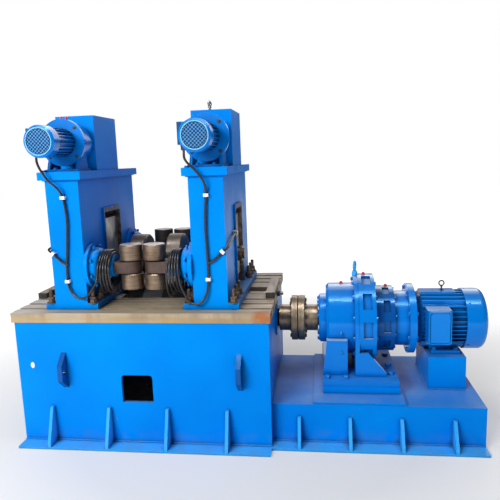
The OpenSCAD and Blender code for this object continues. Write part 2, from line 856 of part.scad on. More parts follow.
module guide_rollers(s) translate([spindle_x, s * guide_y, arm_z]) rotate_extrude() {
    half = arm_t / 2 + run_gap;
    square([spindle_r, half + washer_t + guide_h]);
    for (m = [0, 1]) mirror([0, m]) {
        square([spindle_r, half + washer_t + guide_h]);
        translate([0, half]) square([washer_r, washer_t + eps]);
        translate([0, half + washer_t]) polygon([[0, 0], [guide_r - roller_edge, 0], [guide_r, roller_edge],
            [guide_r, guide_h - roller_edge], [guide_r - roller_edge, guide_h], [0, guide_h]]);
    }
}

module press_slide() difference() {
    block([-slide_half_w, -slide_half_d, slide_z], [slide_half_w, slide_half_d, slide_top]);
    translate([0, 0, slide_top - jack_bore_l]) cylinder(r = jack_r + run_gap, h = jack_bore_l + eps);
    translate([0, 0, press_z]) bar_x(-slide_half_w - eps, slide_half_w + eps, press_shaft_r + run_gap);
}

module press_roller() translate([0, 0, press_z]) {
    near = press_in_x - column_x;
    far = near + press_l;
    nut_end = press_nut_x + press_nut_l;
    turned_x([[near, 0], [near, press_r - press_edge], [near + press_edge, press_r],
        [far - press_edge, press_r], [far, press_r - press_edge], [far, press_shaft_r],
        [press_nut_x, press_shaft_r], [press_nut_x, press_nut_r], [nut_end, press_nut_r],
        [nut_end, press_shaft_r], [press_shaft_end, press_shaft_r], [press_shaft_end, 0]]);
}

module gear_housing()
    block([-gear_w / 2, gear_front_y, cap_top], [gear_w / 2, gear_back_y, cap_top + gear_h]);

module jack_motor() {
    translate([0, 0, jack_axis_z]) {
        bar_y(jack_flange_y, gear_front_y, bell_r);
        bar_y(jack_body_y, jack_flange_y, jack_flange_r);
        bar_y(jack_cowl_y, jack_body_y, jack_body_r);
        for (k = [0 : jack_fin_count - 1]) rotate([0, 360 * (k + 0.5) / jack_fin_count, 0])
            block([0, jack_cowl_y, -jack_fin_t / 2],
                [jack_body_r + jack_fin_h, jack_body_y + eps, jack_fin_t / 2]);
    }
    jack_bracket();
    block([-box_out, box_y - box_d / 2, box_z], [-box_in, box_y + box_d / 2, box_z + box_h]);
    translate([gland_x, box_y, gland_z]) cylinder(r = gland_r, h = gland_l + eps);
}

// The open bracket under the jack motor's bell: a pad and two cheeks with sloping front edges
module jack_bracket() {
    y = jack_flange_y;
    cheek_top = jack_axis_z - cheek_top_drop;
    block([-jack_pad_half_w, y - cheek_front - jack_pad_over, cap_top],
        [jack_pad_half_w, y + cheek_back + jack_pad_over, cap_top + jack_pad_t]);
    for (s = [-1, 1]) translate([s * (cheek_x + cheek_t / 2), 0, 0])
        yz_sheet([[y - cheek_front, cap_top], [y + cheek_back, cap_top],
            [y + cheek_top_back, cheek_top], [y + cheek_top_front, cheek_top]], cheek_t);
}

module jack_cowl() translate([0, 0, jack_axis_z]) rotate([0, 0, -90]) {
    near = -jack_cowl_y;
    far = near + jack_cowl_l;
    face_r = jack_cowl_r - jack_rim;
    turned_x([[near, 0], [near, jack_cowl_r], [far - jack_rim, jack_cowl_r], [far, face_r],
        [far - jack_grille_h, face_r], [far - jack_grille_h, 0]]);
}

// A saddle clip on the column's front for each place where the cable is held
module cable_clip() difference() {
    block([-clip_half_w, -cable_d / 2 - clip_wall, -clip_half_h], [clip_half_w, cable_d, clip_half_h]);
    translate([0, 0, -clip_half_h - eps]) cylinder(r = cable_d / 2 + clip_gap, h = 2 * (clip_half_h + eps));
}

module cable_clips(places, side) color("white") {
    for (p = places) translate([p[0], clip_y, p[1]]) cable_clip();
    on_column(side) {
        translate([branch_clip[0], clip_y, branch_clip[1]]) rotate([0, 45, 0]) cable_clip();
        translate(branch_end - 2 * clip_half_h * [0, cos(branch_rise), sin(branch_rise)])
            rotate([0, 90 - branch_rise, 90]) cable_clip();
    }
}

module cable_coil() translate([0, -guide_y, coil_z]) rotate([0, 90, 0]) rotate_extrude()
    translate([coil_turn_r - coil_half_t, coil_x - coil_l / 2]) square([2 * coil_half_t, coil_l]);

// Left column

module left_column_frame() color(blue) on_column(-1) column_frame();
module left_foot_plate() color(blue) on_column(-1) foot_plate();
module left_cap_plate() color(blue) on_column(-1) cap_plate();
module left_gear_housing() color(blue) over_column(-1) gear_housing();
module left_jack_motor() color(blue) over_column(-1) jack_motor();
module left_jack_cowl() color(blue) over_column(-1) jack_cowl();
module left_screws() color("silver") on_column(-1) screws();
module left_guide_bosses() color(blue) on_column(-1) guide_bosses();
module left_guide_arms() color(steel) on_column(-1) guide_arms();
module left_cable_clips() cable_clips(left_clips, -1);
module left_motor_cable() color("black") cable(left_route);
module left_branch_cable() color("black") on_column(-1) cable(branch_route);
module left_cable_coil() color("black") on_column(-1) cable_coil();
module left_front_guide_rollers() color(steel) on_column(-1) guide_rollers(-1);
module left_back_guide_rollers() color(steel) on_column(-1) guide_rollers(1);
module left_press_slide() color("gray") on_column(-1) press_slide();
module left_press_roller() color("silver") on_column(-1) press_roller();

// Right column

module right_column_frame() color(blue) on_column(1) column_frame();
module right_foot_plate() color(blue) on_column(1) foot_plate();
module right_cap_plate() color(blue) on_column(1) cap_plate();
module right_gear_housing() color(blue) over_column(1) gear_housing();
module right_jack_motor() color(blue) over_column(1) jack_motor();
module right_jack_cowl() color(blue) over_column(1) jack_cowl();
module right_screws() color("silver") on_column(1) screws();
module right_guide_bosses() color(blue) on_column(1) guide_bosses();
module right_guide_arms() color(steel) on_column(1) guide_arms();
module right_cable_clips() cable_clips(right_clips, 1);
module right_motor_cable() color("black") cable(right_route);
module right_branch_cable() color("black") on_column(1) cable(branch_route);
module right_cable_coil() color("black") on_column(1) cable_coil();
module right_front_guide_rollers() color(steel) on_column(1) guide_rollers(-1);
module right_back_guide_rollers() color(steel) on_column(1) guide_rollers(1);
module right_press_slide() color("gray") on_column(1) press_slide();
module right_press_roller() color("silver") on_column(1) press_roller();

floor_plate();
base_front_wall();
base_back_wall();
base_left_wall();
base_right_wall();
gussets();
lifting_lugs();
table_plate();
screw_brackets();
shaft_bearings();
drive_top_plate();
drive_side_walls();
drive_end_wall();
reducer_plinth();
reducer_housing();
pin_gear_ring();
second_stage_ring();
motor_adapter();
drive_motor();
drive_motor_cowl();
drive_terminal_box();
motor_stand();
main_roller();
coupling_left_half();
coupling_right_half();
left_column_frame();
left_foot_plate();
left_cap_plate();
left_gear_housing();
left_jack_motor();
left_jack_cowl();
left_screws();
left_guide_bosses();
left_guide_arms();
left_cable_clips();
left_motor_cable();
left_branch_cable();
left_cable_coil();
left_front_guide_rollers();
left_back_guide_rollers();
left_press_slide();
left_press_roller();
right_column_frame();
right_foot_plate();
right_cap_plate();
right_gear_housing();
right_jack_motor();
right_jack_cowl();
right_screws();
right_guide_bosses();
right_guide_arms();
right_cable_clips();
right_motor_cable();
right_branch_cable();
right_cable_coil();
right_front_guide_rollers();
right_back_guide_rollers();
right_press_slide();
right_press_roller();
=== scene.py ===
"""Looks of the beam straightening machine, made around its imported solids.

Lengths are metres in the part's own frame: +X along the drive axis towards the motor, +Y along the
beam away from the viewer, +Z up, with the origin on the floor under the middle of the table.
"""
import math
import random

import bmesh
import bpy
from mathutils import Matrix, Vector


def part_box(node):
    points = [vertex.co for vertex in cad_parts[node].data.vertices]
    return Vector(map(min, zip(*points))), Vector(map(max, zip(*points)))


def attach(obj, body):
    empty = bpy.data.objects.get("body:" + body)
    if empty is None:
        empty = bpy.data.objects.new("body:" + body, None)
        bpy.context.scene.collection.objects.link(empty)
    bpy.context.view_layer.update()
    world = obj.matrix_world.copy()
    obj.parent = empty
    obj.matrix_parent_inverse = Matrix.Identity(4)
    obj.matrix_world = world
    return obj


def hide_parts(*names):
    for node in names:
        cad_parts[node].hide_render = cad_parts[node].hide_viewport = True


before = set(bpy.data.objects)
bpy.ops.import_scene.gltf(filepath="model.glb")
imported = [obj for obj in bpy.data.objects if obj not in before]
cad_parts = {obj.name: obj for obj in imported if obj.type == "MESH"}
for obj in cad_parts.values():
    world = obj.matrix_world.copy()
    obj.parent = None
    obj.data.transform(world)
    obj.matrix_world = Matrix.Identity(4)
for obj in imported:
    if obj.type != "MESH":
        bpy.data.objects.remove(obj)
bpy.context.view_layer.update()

SIDES = {"left": -1, "right": 1}
UP = Vector((0, 0, 1))
TO_RIGHT = Vector((1, 0, 0))
TO_FRONT = Vector((0, -1, 0))


# Camera

CAMERA_PLACE = (0.914855, -3.003883, 1.447290)
CAMERA_YAW = 0.13
CAMERA_PITCH = -0.165
CAMERA_ROLL = -0.035
CAMERA_LENS = 39.13


def add_camera():
    """The camera that was solved from the machine's straight edges."""
    flat = math.cos(CAMERA_PITCH)
    ahead = Vector((-math.sin(CAMERA_YAW) * flat, math.cos(CAMERA_YAW) * flat, math.sin(CAMERA_PITCH)))
    level = ahead.cross(UP).normalized()
    over = level.cross(ahead)
    right = math.cos(CAMERA_ROLL) * level + math.sin(CAMERA_ROLL) * over
    over = math.cos(CAMERA_ROLL) * over - math.sin(CAMERA_ROLL) * level
    data = bpy.data.cameras.new("camera")
    data.lens = CAMERA_LENS
    camera = bpy.data.objects.new("camera", data)
    turned = Matrix((right, over, -ahead)).transposed().to_4x4()
    camera.matrix_world = Matrix.Translation(CAMERA_PLACE) @ turned
    bpy.context.collection.objects.link(camera)
    bpy.context.scene.camera = camera


# Materials

CREVICE_SAMPLES = 6


class Look:
    """A node material, built up in layers on the machine's own coordinates."""

    def __init__(self, name, **sockets):
        self.material = bpy.data.materials.new(name)
        self.material.use_nodes = True
        self.tree = self.material.node_tree
        self.shader = self.tree.nodes["Principled BSDF"]
        self.place = self.tree.nodes.new("ShaderNodeTexCoord").outputs["Object"]
        for socket, value in sockets.items():
            self.set(socket.replace("_", " "), value)

    def set(self, socket, value):
        """A constant or another node's output on one of the shader's sockets."""
        target = self.shader.inputs[socket]
        if isinstance(value, bpy.types.NodeSocket):
            self.tree.links.new(value, target)
        elif isinstance(value, tuple):
            target.default_value = (*value, 1)
        else:
            target.default_value = value

    def feed(self, node, socket, value):
        """A constant or another node's output on a socket of a helper node."""
        if isinstance(value, bpy.types.NodeSocket):
            self.tree.links.new(value, node.inputs[socket])
        elif isinstance(value, tuple) and len(value) == 3 and node.inputs[socket].type == "RGBA":
            node.inputs[socket].default_value = (*value, 1)
        else:
            node.inputs[socket].default_value = value

    def noise(self, scale, detail=3.0, stretch=(1, 1, 1)):
        """Smooth noise; a stretch under 1 draws it out along that axis."""
        mapping = self.tree.nodes.new("ShaderNodeMapping")
        self.feed(mapping, "Vector", self.place)
        self.feed(mapping, "Scale", stretch)
        node = self.tree.nodes.new("ShaderNodeTexNoise")
        self.feed(node, "Vector", mapping.outputs["Vector"])
        self.feed(node, "Scale", scale)
        self.feed(node, "Detail", detail)
        return node.outputs["Fac"]

    def band(self, source, low, high, start=0.0, end=1.0):
        """source from low to high, spread out from start to end."""
        node = self.tree.nodes.new("ShaderNodeMapRange")
        self.feed(node, "Value", source)
        self.feed(node, "From Min", low)
        self.feed(node, "From Max", high)
        self.feed(node, "To Min", start)
        self.feed(node, "To Max", end)
        return node.outputs["Result"]

    def math(self, operation, first, second):
        node = self.tree.nodes.new("ShaderNodeMath")
        node.operation = operation
        self.feed(node, 0, first)
        self.feed(node, 1, second)
        return node.outputs["Value"]

    def times(self, first, second):
        return self.math("MULTIPLY", first, second)

    def mix(self, factor, first, second):
        node = self.tree.nodes.new("ShaderNodeMix")
        node.data_type = "RGBA"
        self.feed(node, 0, factor)
        self.feed(node, 6, first)
        self.feed(node, 7, second)
        return node.outputs[2]

    def split(self, vector, axis):
        node = self.tree.nodes.new("ShaderNodeSeparateXYZ")
        self.feed(node, "Vector", vector)
        return node.outputs[axis]

    def along(self, axis):
        """The place's coordinate on one axis."""
        return self.split(self.place, axis)

    def facing(self, axis):
        """How far the surface faces along one axis, from -1 to 1."""
        geometry = self.tree.nodes.new("ShaderNodeNewGeometry")
        return self.split(geometry.outputs["Normal"], axis)

    def away_from(self, point):
        """The distance from a point."""
        node = self.tree.nodes.new("ShaderNodeVectorMath")
        node.operation = "DISTANCE"
        self.feed(node, 0, self.place)
        self.feed(node, 1, point)
        return node.outputs["Value"]

    def open_air(self, reach):
        """1 where nothing stands within reach, down to 0 deep in a crevice."""
        node = self.tree.nodes.new("ShaderNodeAmbientOcclusion")
        node.samples = CREVICE_SAMPLES
        self.feed(node, "Distance", reach)
        return node.outputs["AO"]

    def bump(self, height, strength, distance):
        node = self.tree.nodes.new("ShaderNodeBump")
        self.feed(node, "Height", height)
        self.feed(node, "Strength", strength)
        self.feed(node, "Distance", distance)
        self.set("Normal", node.outputs["Normal"])


# Places on the machine that a finish depends on
SLOT_HALF = 0.1205
SLOT_TOP = 1.2085
RIM_EDGE = 0.0008
JACK_BOX_BACK = -0.356
TRACK_LOW = -0.080
TRACK_HIGH = 0.024
TRACK_EDGE = 0.006
RUST_CORNER = (0.640, -0.478, 0.688)
RUST_REACH = 0.072
RUST_CORE = 0.036

# Tints of the reflections, and how far the painted shade in crevices reaches
GLEAM = (0.06, 0.42, 1.0)
SHINE = (0.20, 0.55, 1.0)
CREVICE = 0.035
FIN_CREVICE = 0.075

# How tool marks are drawn out: along an axis, or round one
ALONG_X = (0.2, 1, 1)
ALONG_Z = (1, 1, 0.15)
ROUND_X = (4, 0.3, 0.3)
ROUND_Z = (0.3, 0.3, 5.0)

# Colours of wear, dirt and steel, and of painted shade and painted highlights
CREVICE_SHADE = (0.001, 0.014, 0.060)
FLOOR_GRIME = (0.17, 0.17, 0.16)
SCUFF = (0.10, 0.24, 0.48)
CROWN_GLINT = (0.55, 0.70, 0.88)
BOX_SHADE = (0.006, 0.045, 0.150)
DIRT = (0.60, 0.47, 0.37)
DIRT_DEEP = (0.40, 0.30, 0.22)
RIM_STEEL = (0.23, 0.19, 0.16)
RIM_RUST = (0.08, 0.045, 0.03)
STEEL_CREVICE_SHADE = (0.012, 0.009, 0.007)
TAN = (0.50, 0.415, 0.29)
TAN_DEEP = (0.29, 0.225, 0.145)
DRIP = (0.24, 0.16, 0.09)
OCHRE = (0.43, 0.28, 0.095)
LIT_TABLE_END = (0.74, 0.71, 0.65)
FRONT_SHADE = (0.24, 0.165, 0.105)
SPOT = (0.40, 0.24, 0.10)
RUST_RED = (0.36, 0.125, 0.035)
SLOT_SHADE = (0.012, 0.011, 0.010)
WELL_SHADE = (0.005, 0.0045, 0.004)
WELL_SHADE_THIN = (0.011, 0.009, 0.008)
TRACK_GREY = (0.140, 0.135, 0.125)
TRACK_DARK = (0.090, 0.084, 0.077)
BAR_SHADE = (0.012, 0.012, 0.013)
BAR_SHADE_WARM = (0.05, 0.04, 0.03)
BAR_TOP = (0.46, 0.40, 0.31)
BAR_TOP_DEEP = (0.28, 0.23, 0.16)
MARK_SHADE = 0.62


def bare_slot(look, tone):
    """The unpainted rim and inside of a column's slot."""
    out = SLOT_HALF + RIM_EDGE
    top = SLOT_TOP + RIM_EDGE
    beside = look.band(look.math("ABSOLUTE", look.along("Y"), 0.0), out, out - RIM_EDGE / 2)
    below = look.band(look.along("Z"), top, top - RIM_EDGE / 2)
    rim = look.times(beside, below)
    steel = look.mix(look.band(look.noise(35, 6), 0.38, 0.66), RIM_STEEL, RIM_RUST)
    look.set("Metallic", look.times(rim, 0.4))
    return look.mix(rim, tone, steel)


def dirt_inside(look, tone):
    """Dirt on the part of the floor plate that lies inside the base box."""
    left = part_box("base_left_wall")[1].x
    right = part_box("base_right_wall")[0].x
    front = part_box("base_front_wall")[1].y
    across = look.band(look.math("ABSOLUTE", look.along("Y"), 0.0), -front, -front - RIM_EDGE)
    after = look.band(look.along("X"), left, left + RIM_EDGE)
    before = look.band(look.along("X"), right, right - RIM_EDGE)
    dirt = look.mix(look.band(look.noise(16, 6), 0.35, 0.65), DIRT, DIRT_DEEP)
    return look.mix(look.times(across, look.times(after, before)), tone, dirt)


def shade_on_boxes(look, tone):
    """Painted shade: the terminal box on the left side of each jack motor, darkened."""
    boxes = 0.0
    for side in SIDES:
        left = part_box(side + "_jack_cowl")[0].x
        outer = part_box(side + "_jack_motor")[0].x
        ahead = look.band(look.along("Y"), JACK_BOX_BACK, JACK_BOX_BACK - RIM_EDGE)
        beside = look.band(look.along("X"), left, left - RIM_EDGE)
        within = look.band(look.along("X"), outer - RIM_EDGE, outer)
        boxes = look.math("ADD", boxes, look.times(ahead, look.times(beside, within)))
    return look.mix(boxes, tone, BOX_SHADE)


def paint(name, colours, roughness, gloss, gleam=GLEAM, crevice=CREVICE, dull=0.0, pale=0.0, extra=None):
    """Sprayed enamel with slow drifts of tone, dust, scuffs and grime.

    Dust lies on what faces up and grime at the floor, and crevices and the places where parts meet are
    darkened as painted shade. colours are the main, the deep and the dusty one. dull roughens low tops,
    pale lightens the crowns of castings as a painted highlight, and extra paints one more place.
    """
    main, deep, dust = colours
    look = Look(name, Specular_IOR_Level=gloss, Specular_Tint=gleam)
    tone = look.mix(look.band(look.noise(1.7, 4), 0.35, 0.68), main, deep)
    upward = look.band(look.facing("Z"), 0.55, 0.95)
    settled = look.times(upward, look.band(look.noise(7, 6), 0.30, 0.75, 0.25, 0.85))
    tone = look.mix(settled, tone, dust)
    low = look.band(look.along("Z"), 0.09, 0.0)
    splashed = look.times(low, look.band(look.noise(11, 5), 0.42, 0.70, 0.0, 0.3))
    tone = look.mix(splashed, tone, FLOOR_GRIME)
    scuffs = look.band(look.noise(38, 7, (1, 1, 0.35)), 0.72, 0.78, 0.0, 0.45)
    tone = look.mix(scuffs, tone, SCUFF)
    # Painted shade: darker in crevices and where parts meet.
    tone = look.mix(look.band(look.open_air(crevice), 0.80, 0.15, 0.0, 0.92), tone, CREVICE_SHADE)
    # Painted highlight: the crowns of castings are lightened.
    if pale:
        crown = look.band(look.facing("Z"), 0.90, 0.985)
        crown = look.times(crown, look.band(look.along("Z"), 0.42, 0.47, 0.0, pale))
        tone = look.mix(crown, tone, CROWN_GLINT)
    if extra is not None:
        tone = extra(look, tone)
    look.set("Base Color", tone)
    sheen = look.band(look.noise(6, 5), 0.3, 0.7, roughness - 0.06, roughness + 0.10)
    matte = look.times(upward, look.band(look.along("Z"), 0.40, 0.30, 0.0, dull))
    look.set("Roughness", look.math("ADD", sheen, matte))
    look.bump(look.noise(420, 2), 0.05, 0.0006)
    return look.material


def bare_metal(name, main, stain, roughness, metallic, top=None, stretch=(1, 1, 1)):
    """Worked steel: tool marks along one way, brown stains, and lighter ground ends that face up."""
    look = Look(name)
    marks = look.noise(30, 5, stretch)
    tone = look.mix(look.band(marks, 0.35, 0.70), main, tuple(MARK_SHADE * c for c in main))
    tone = look.mix(look.band(look.noise(13, 7), 0.52, 0.72, 0.0, 0.8), tone, stain)
    if top is not None:
        upward = look.band(look.facing("Z"), 0.80, 0.97)
        tone = look.mix(upward, tone, look.mix(look.band(look.noise(22, 5), 0.35, 0.7), top, main))
        metallic = look.band(upward, 0.0, 1.0, metallic, 0.15)
    look.set("Metallic", metallic)
    # Painted shade: darker in crevices and where parts meet.
    tone = look.mix(look.band(look.open_air(CREVICE), 0.75, 0.15, 0.0, 0.8), tone, STEEL_CREVICE_SHADE)
    look.set("Base Color", tone)
    look.set("Roughness", look.band(look.noise(18, 6), 0.3, 0.72, roughness - 0.08, roughness + 0.16))
    look.bump(look.noise(260, 3, stretch), 0.12, 0.0008)
    return look.material


def table_metal():
    """Planed plate: pale tan with long tool marks, drips, ochre stains, spots and a rusted front corner,
    with painted light on the left end of the top, painted shade along the front towards the right and
    painted shade in the slots.
    """
    look = Look("table_steel", Metallic=0.10)
    marks = look.noise(26, 6, (0.10, 2.2, 1.0))
    tone = look.mix(look.band(marks, 0.30, 0.72), TAN, TAN_DEEP)
    upright = look.band(look.facing("Z"), 0.5, 0.2)
    drips = look.times(upright, look.band(look.noise(20, 5, (1.0, 1.0, 0.16)), 0.50, 0.66))
    tone = look.mix(look.times(drips, 0.55), tone, DRIP)
    corner = look.band(look.away_from(RUST_CORNER), RUST_REACH, RUST_CORE)
    patch = look.times(corner, look.band(look.noise(24, 6), 0.30, 0.50, 0.35, 1.0))
    low = look.times(upright, look.band(look.along("Z"), 0.690, 0.680))
    ochre = look.times(low, look.band(look.noise(9, 6, (0.6, 1.0, 1.0)), 0.36, 0.60, 0.15, 0.85))
    tone = look.mix(ochre, tone, OCHRE)
    # Painted light: the top is made paler towards its left end.
    upward = look.band(look.facing("Z"), 0.5, 0.9)
    lit_end = look.times(upward, look.band(look.along("X"), -0.40, -0.60, 0.0, 0.75))
    tone = look.mix(lit_end, tone, LIT_TABLE_END)
    # Painted shade: the front face is darkened, with a mottle, towards the right.
    ahead = look.band(look.facing("Y"), -0.5, -0.9)
    shaded_front = look.times(ahead, look.band(look.along("X"), 0.05, 0.50, 0.12, 0.62))
    shaded_front = look.times(shaded_front, look.band(look.noise(34, 8, (1.0, 1.0, 0.5)), 0.30, 0.60, 0.45, 1.0))
    tone = look.mix(shaded_front, tone, FRONT_SHADE)
    spots = look.band(look.noise(8, 8), 0.58, 0.70, 0.0, 0.7)
    tone = look.mix(spots, tone, SPOT)
    tone = look.mix(patch, tone, RUST_RED)
    # Painted shade: the slots and the places where parts stand on the table are darkened.
    tone = look.mix(look.band(look.open_air(CREVICE), 0.86, 0.36, 0.0, 0.95), tone, SLOT_SHADE)
    look.set("Base Color", tone)
    look.set("Roughness", look.band(look.noise(15, 6), 0.3, 0.7, 0.38, 0.62))
    look.bump(marks, 0.10, 0.0008)
    return look.material


def well_shade_metal():
    """A roller made near-black as painted shade in the table's well, with the grey track that the work has
    worn on it.
    """
    look = Look("worn_roller", Specular_IOR_Level=0.10)
    black = look.mix(look.band(look.noise(20, 5), 0.35, 0.7), WELL_SHADE, WELL_SHADE_THIN)
    grey = look.mix(look.band(look.noise(30, 5, ALONG_X), 0.35, 0.7), TRACK_GREY, TRACK_DARK)
    left = look.band(look.along("X"), TRACK_LOW - TRACK_EDGE, TRACK_LOW)
    right = look.band(look.along("X"), TRACK_HIGH + TRACK_EDGE, TRACK_HIGH)
    look.set("Base Color", look.mix(look.times(left, right), black, grey))
    look.set("Roughness", look.band(look.noise(18, 6), 0.3, 0.72, 0.55, 0.80))
    look.bump(look.noise(260, 3, ALONG_X), 0.12, 0.0008)
    return look.material


def bracket_metal():
    """A flame-cut bar, pale where its top was planed, and near-black elsewhere as painted shade."""
    look = Look("dark_steel", Metallic=0.2)
    # Painted shade: the faces other than the top are near-black.
    scale = look.mix(look.band(look.noise(40, 5), 0.4, 0.7), BAR_SHADE, BAR_SHADE_WARM)
    planed = look.mix(look.band(look.noise(25, 6, (1, 0.2, 1)), 0.35, 0.7), BAR_TOP, BAR_TOP_DEEP)
    look.set("Base Color", look.mix(look.band(look.facing("Z"), 0.7, 0.95), scale, planed))
    look.set("Roughness", look.band(look.noise(30, 4), 0.3, 0.7, 0.45, 0.75))
    look.bump(look.noise(160, 4), 0.15, 0.001)
    return look.material


def moulded(name, main, deep, roughness):
    """Plastic or rubber with a faint mottle."""
    look = Look(name, Specular_IOR_Level=0.45)
    look.set("Base Color", look.mix(look.band(look.noise(45, 4), 0.35, 0.7), main, deep))
    look.set("Roughness", look.band(look.noise(60, 4), 0.3, 0.7, roughness - 0.06, roughness + 0.10))
    look.bump(look.noise(300, 2), 0.05, 0.0004)
    return look.material


# Paints: main, deep and dusty colour
AZURE = ((0.000, 0.250, 0.800), (0.000, 0.190, 0.690), (0.130, 0.310, 0.640))
CAST = ((0.000, 0.195, 0.690), (0.000, 0.150, 0.570), (0.040, 0.240, 0.660))
# Painted shade: the next palette is a darker copy of the cast paint, for the second stage and the lifting
# lugs.
NAVY = ((0.002, 0.080, 0.340), (0.002, 0.060, 0.270), (0.03, 0.16, 0.45))
# Painted highlight: the next palette is a lighter copy of the paint, for rounded edges, gussets, the floor
# plate and the reducer's eye.
HIGHLIGHT_BLUE = ((0.05, 0.42, 0.94), (0.03, 0.36, 0.88), (0.07, 0.44, 0.90))
MESH = ((0.060, 0.30, 0.72), (0.045, 0.25, 0.64), (0.07, 0.32, 0.72))
RING_HIGHLIGHT_BLUE = ((0.24, 0.60, 0.94), (0.16, 0.52, 0.90), (0.26, 0.60, 0.92))
# Painted highlight: how strongly the castings' crowns are lightened.
CROWN = 0.75
BLUE = paint("blue_paint", AZURE, 0.40, 0.18)
COLUMN = paint("column_paint", AZURE, 0.40, 0.18, extra=bare_slot)
GLOSS = paint("gloss_blue", CAST, 0.17, 0.75, SHINE, dull=0.45, pale=CROWN)
# The painted shade between the motor fins reaches further.
FINNED = paint("finned_blue", CAST, 0.20, 0.60, SHINE, crevice=FIN_CREVICE)
JACK = paint("jack_blue", CAST, 0.20, 0.60, SHINE, crevice=FIN_CREVICE, extra=shade_on_boxes)
SHADED_GLOSS = paint("shaded_gloss_blue", NAVY, 0.17, 0.75, SHINE, pale=CROWN)
HIGHLIGHT_PAINT = paint("highlight_paint", HIGHLIGHT_BLUE, 0.30, 0.40)
HIGHLIGHT_AND_DIRT = paint("floor_paint", HIGHLIGHT_BLUE, 0.30, 0.40, extra=dirt_inside)
GRILLE = paint("grille_paint", MESH, 0.30, 0.40)
RING_HIGHLIGHT = paint("ring_highlight_paint", RING_HIGHLIGHT_BLUE, 0.25, 0.50)

# Steel, rubber and plastic
TABLE = table_metal()
SHADE_SIDED_STEEL = bracket_metal()
WORN = bare_metal("worn_edge", (0.66, 0.61, 0.53), (0.42, 0.33, 0.22), 0.35, 0.3, stretch=ALONG_X)
ROLLER = bare_metal("roller_steel", (0.26, 0.19, 0.135), (0.11, 0.065, 0.04), 0.36, 0.80,
                    top=(0.62, 0.60, 0.57), stretch=ROUND_Z)
# Painted shade: the back rollers are in a darker copy of the roller steel.
SHADED_BACK_ROLLER = bare_metal("back_roller_shaded_steel", (0.050, 0.040, 0.033), (0.03, 0.02, 0.015), 0.42, 0.4,
                         top=(0.66, 0.65, 0.62), stretch=ROUND_Z)
ARM = bare_metal("arm_steel", (0.092, 0.056, 0.045), (0.045, 0.025, 0.020), 0.45, 0.4)
PRESS = bare_metal("press_steel", (0.13, 0.105, 0.085), (0.07, 0.045, 0.03), 0.40, 0.6, stretch=ALONG_X)
TURNED = bare_metal("turned_steel", (0.36, 0.33, 0.30), (0.15, 0.10, 0.07), 0.32, 0.9, stretch=ALONG_X)
COUPLING = bare_metal("coupling_steel", (0.30, 0.235, 0.165), (0.13, 0.08, 0.04), 0.36, 0.75,
                      stretch=ROUND_X)
SLIDE = bare_metal("slide_steel", (0.50, 0.46, 0.42), (0.20, 0.14, 0.10), 0.36, 0.60, stretch=ALONG_Z)
RUST = bare_metal("rusted_fastener", (0.16, 0.115, 0.08), (0.13, 0.055, 0.02), 0.50, 0.5)
ZINC = bare_metal("plated_fastener", (0.50, 0.51, 0.53), (0.25, 0.23, 0.20), 0.30, 0.95)
# Painted shade: the main roller is near-black for the shade in the table's well.
WELL = well_shade_metal()
RUBBER = moulded("black_rubber", (0.012, 0.012, 0.014), (0.028, 0.027, 0.026), 0.30)
EYE = bare_metal("dark_eye_steel", (0.075, 0.10, 0.13), (0.05, 0.05, 0.05), 0.35, 0.7)
WHITE = moulded("white_plastic", (0.82, 0.83, 0.84), (0.70, 0.70, 0.68), 0.45)
RED = moulded("red_plastic", (0.62, 0.02, 0.02), (0.42, 0.015, 0.012), 0.40)
# Painted shade: a near-black stand-in for the dark inside behind the grilles.
SHADE = moulded("dark_inside", (0.006, 0.010, 0.020), (0.012, 0.018, 0.030), 0.70)


# Solids from the frame, with their finish and rounded edges

BEVEL_STEPS = 2
BEVEL_ANGLE = math.radians(40)


def dress(node, material, edge=0.0, edge_material=None):
    """Gives a solid its finish, and rounds its edges by that width, in their own finish if one is named."""
    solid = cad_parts[node]
    solid.data.materials.clear()
    solid.data.materials.append(material)
    if edge:
        bevel = solid.modifiers.new("edge", "BEVEL")
        bevel.width = edge
        bevel.segments = BEVEL_STEPS
        bevel.limit_method = "ANGLE"
        bevel.angle_limit = BEVEL_ANGLE
        bevel.harden_normals = True
        if edge_material is not None:
            solid.data.materials.append(edge_material)
            bevel.material = 1


PLATE_EDGE = 0.0035
CAST_EDGE = 0.0045
FINE_EDGE = 0.001
TABLE_EDGE = 0.0022
# Rounded edges in the lighter paint are painted highlights.
for plate in (
    "base_front_wall", "base_back_wall", "base_left_wall", "base_right_wall", "shaft_bearings",
    "drive_top_plate", "drive_side_walls", "drive_end_wall",
    "reducer_plinth", "motor_stand",
):
    dress(plate, BLUE, PLATE_EDGE, HIGHLIGHT_PAINT)
# Painted highlight: the floor plate is in the lighter paint, with dirt inside the base.
dress("floor_plate", HIGHLIGHT_AND_DIRT, PLATE_EDGE)
# Painted highlight: the gussets are in the lighter paint.
dress("gussets", HIGHLIGHT_PAINT, PLATE_EDGE)
# Painted shade: the lugs are in the darker copy of the paint, and their rounded edges are painted
# highlights.
dress("lifting_lugs", SHADED_GLOSS, PLATE_EDGE, HIGHLIGHT_PAINT)
for cast in ("reducer_housing", "pin_gear_ring", "motor_adapter", "drive_motor_cowl", "drive_terminal_box"):
    dress(cast, GLOSS, CAST_EDGE, HIGHLIGHT_PAINT)
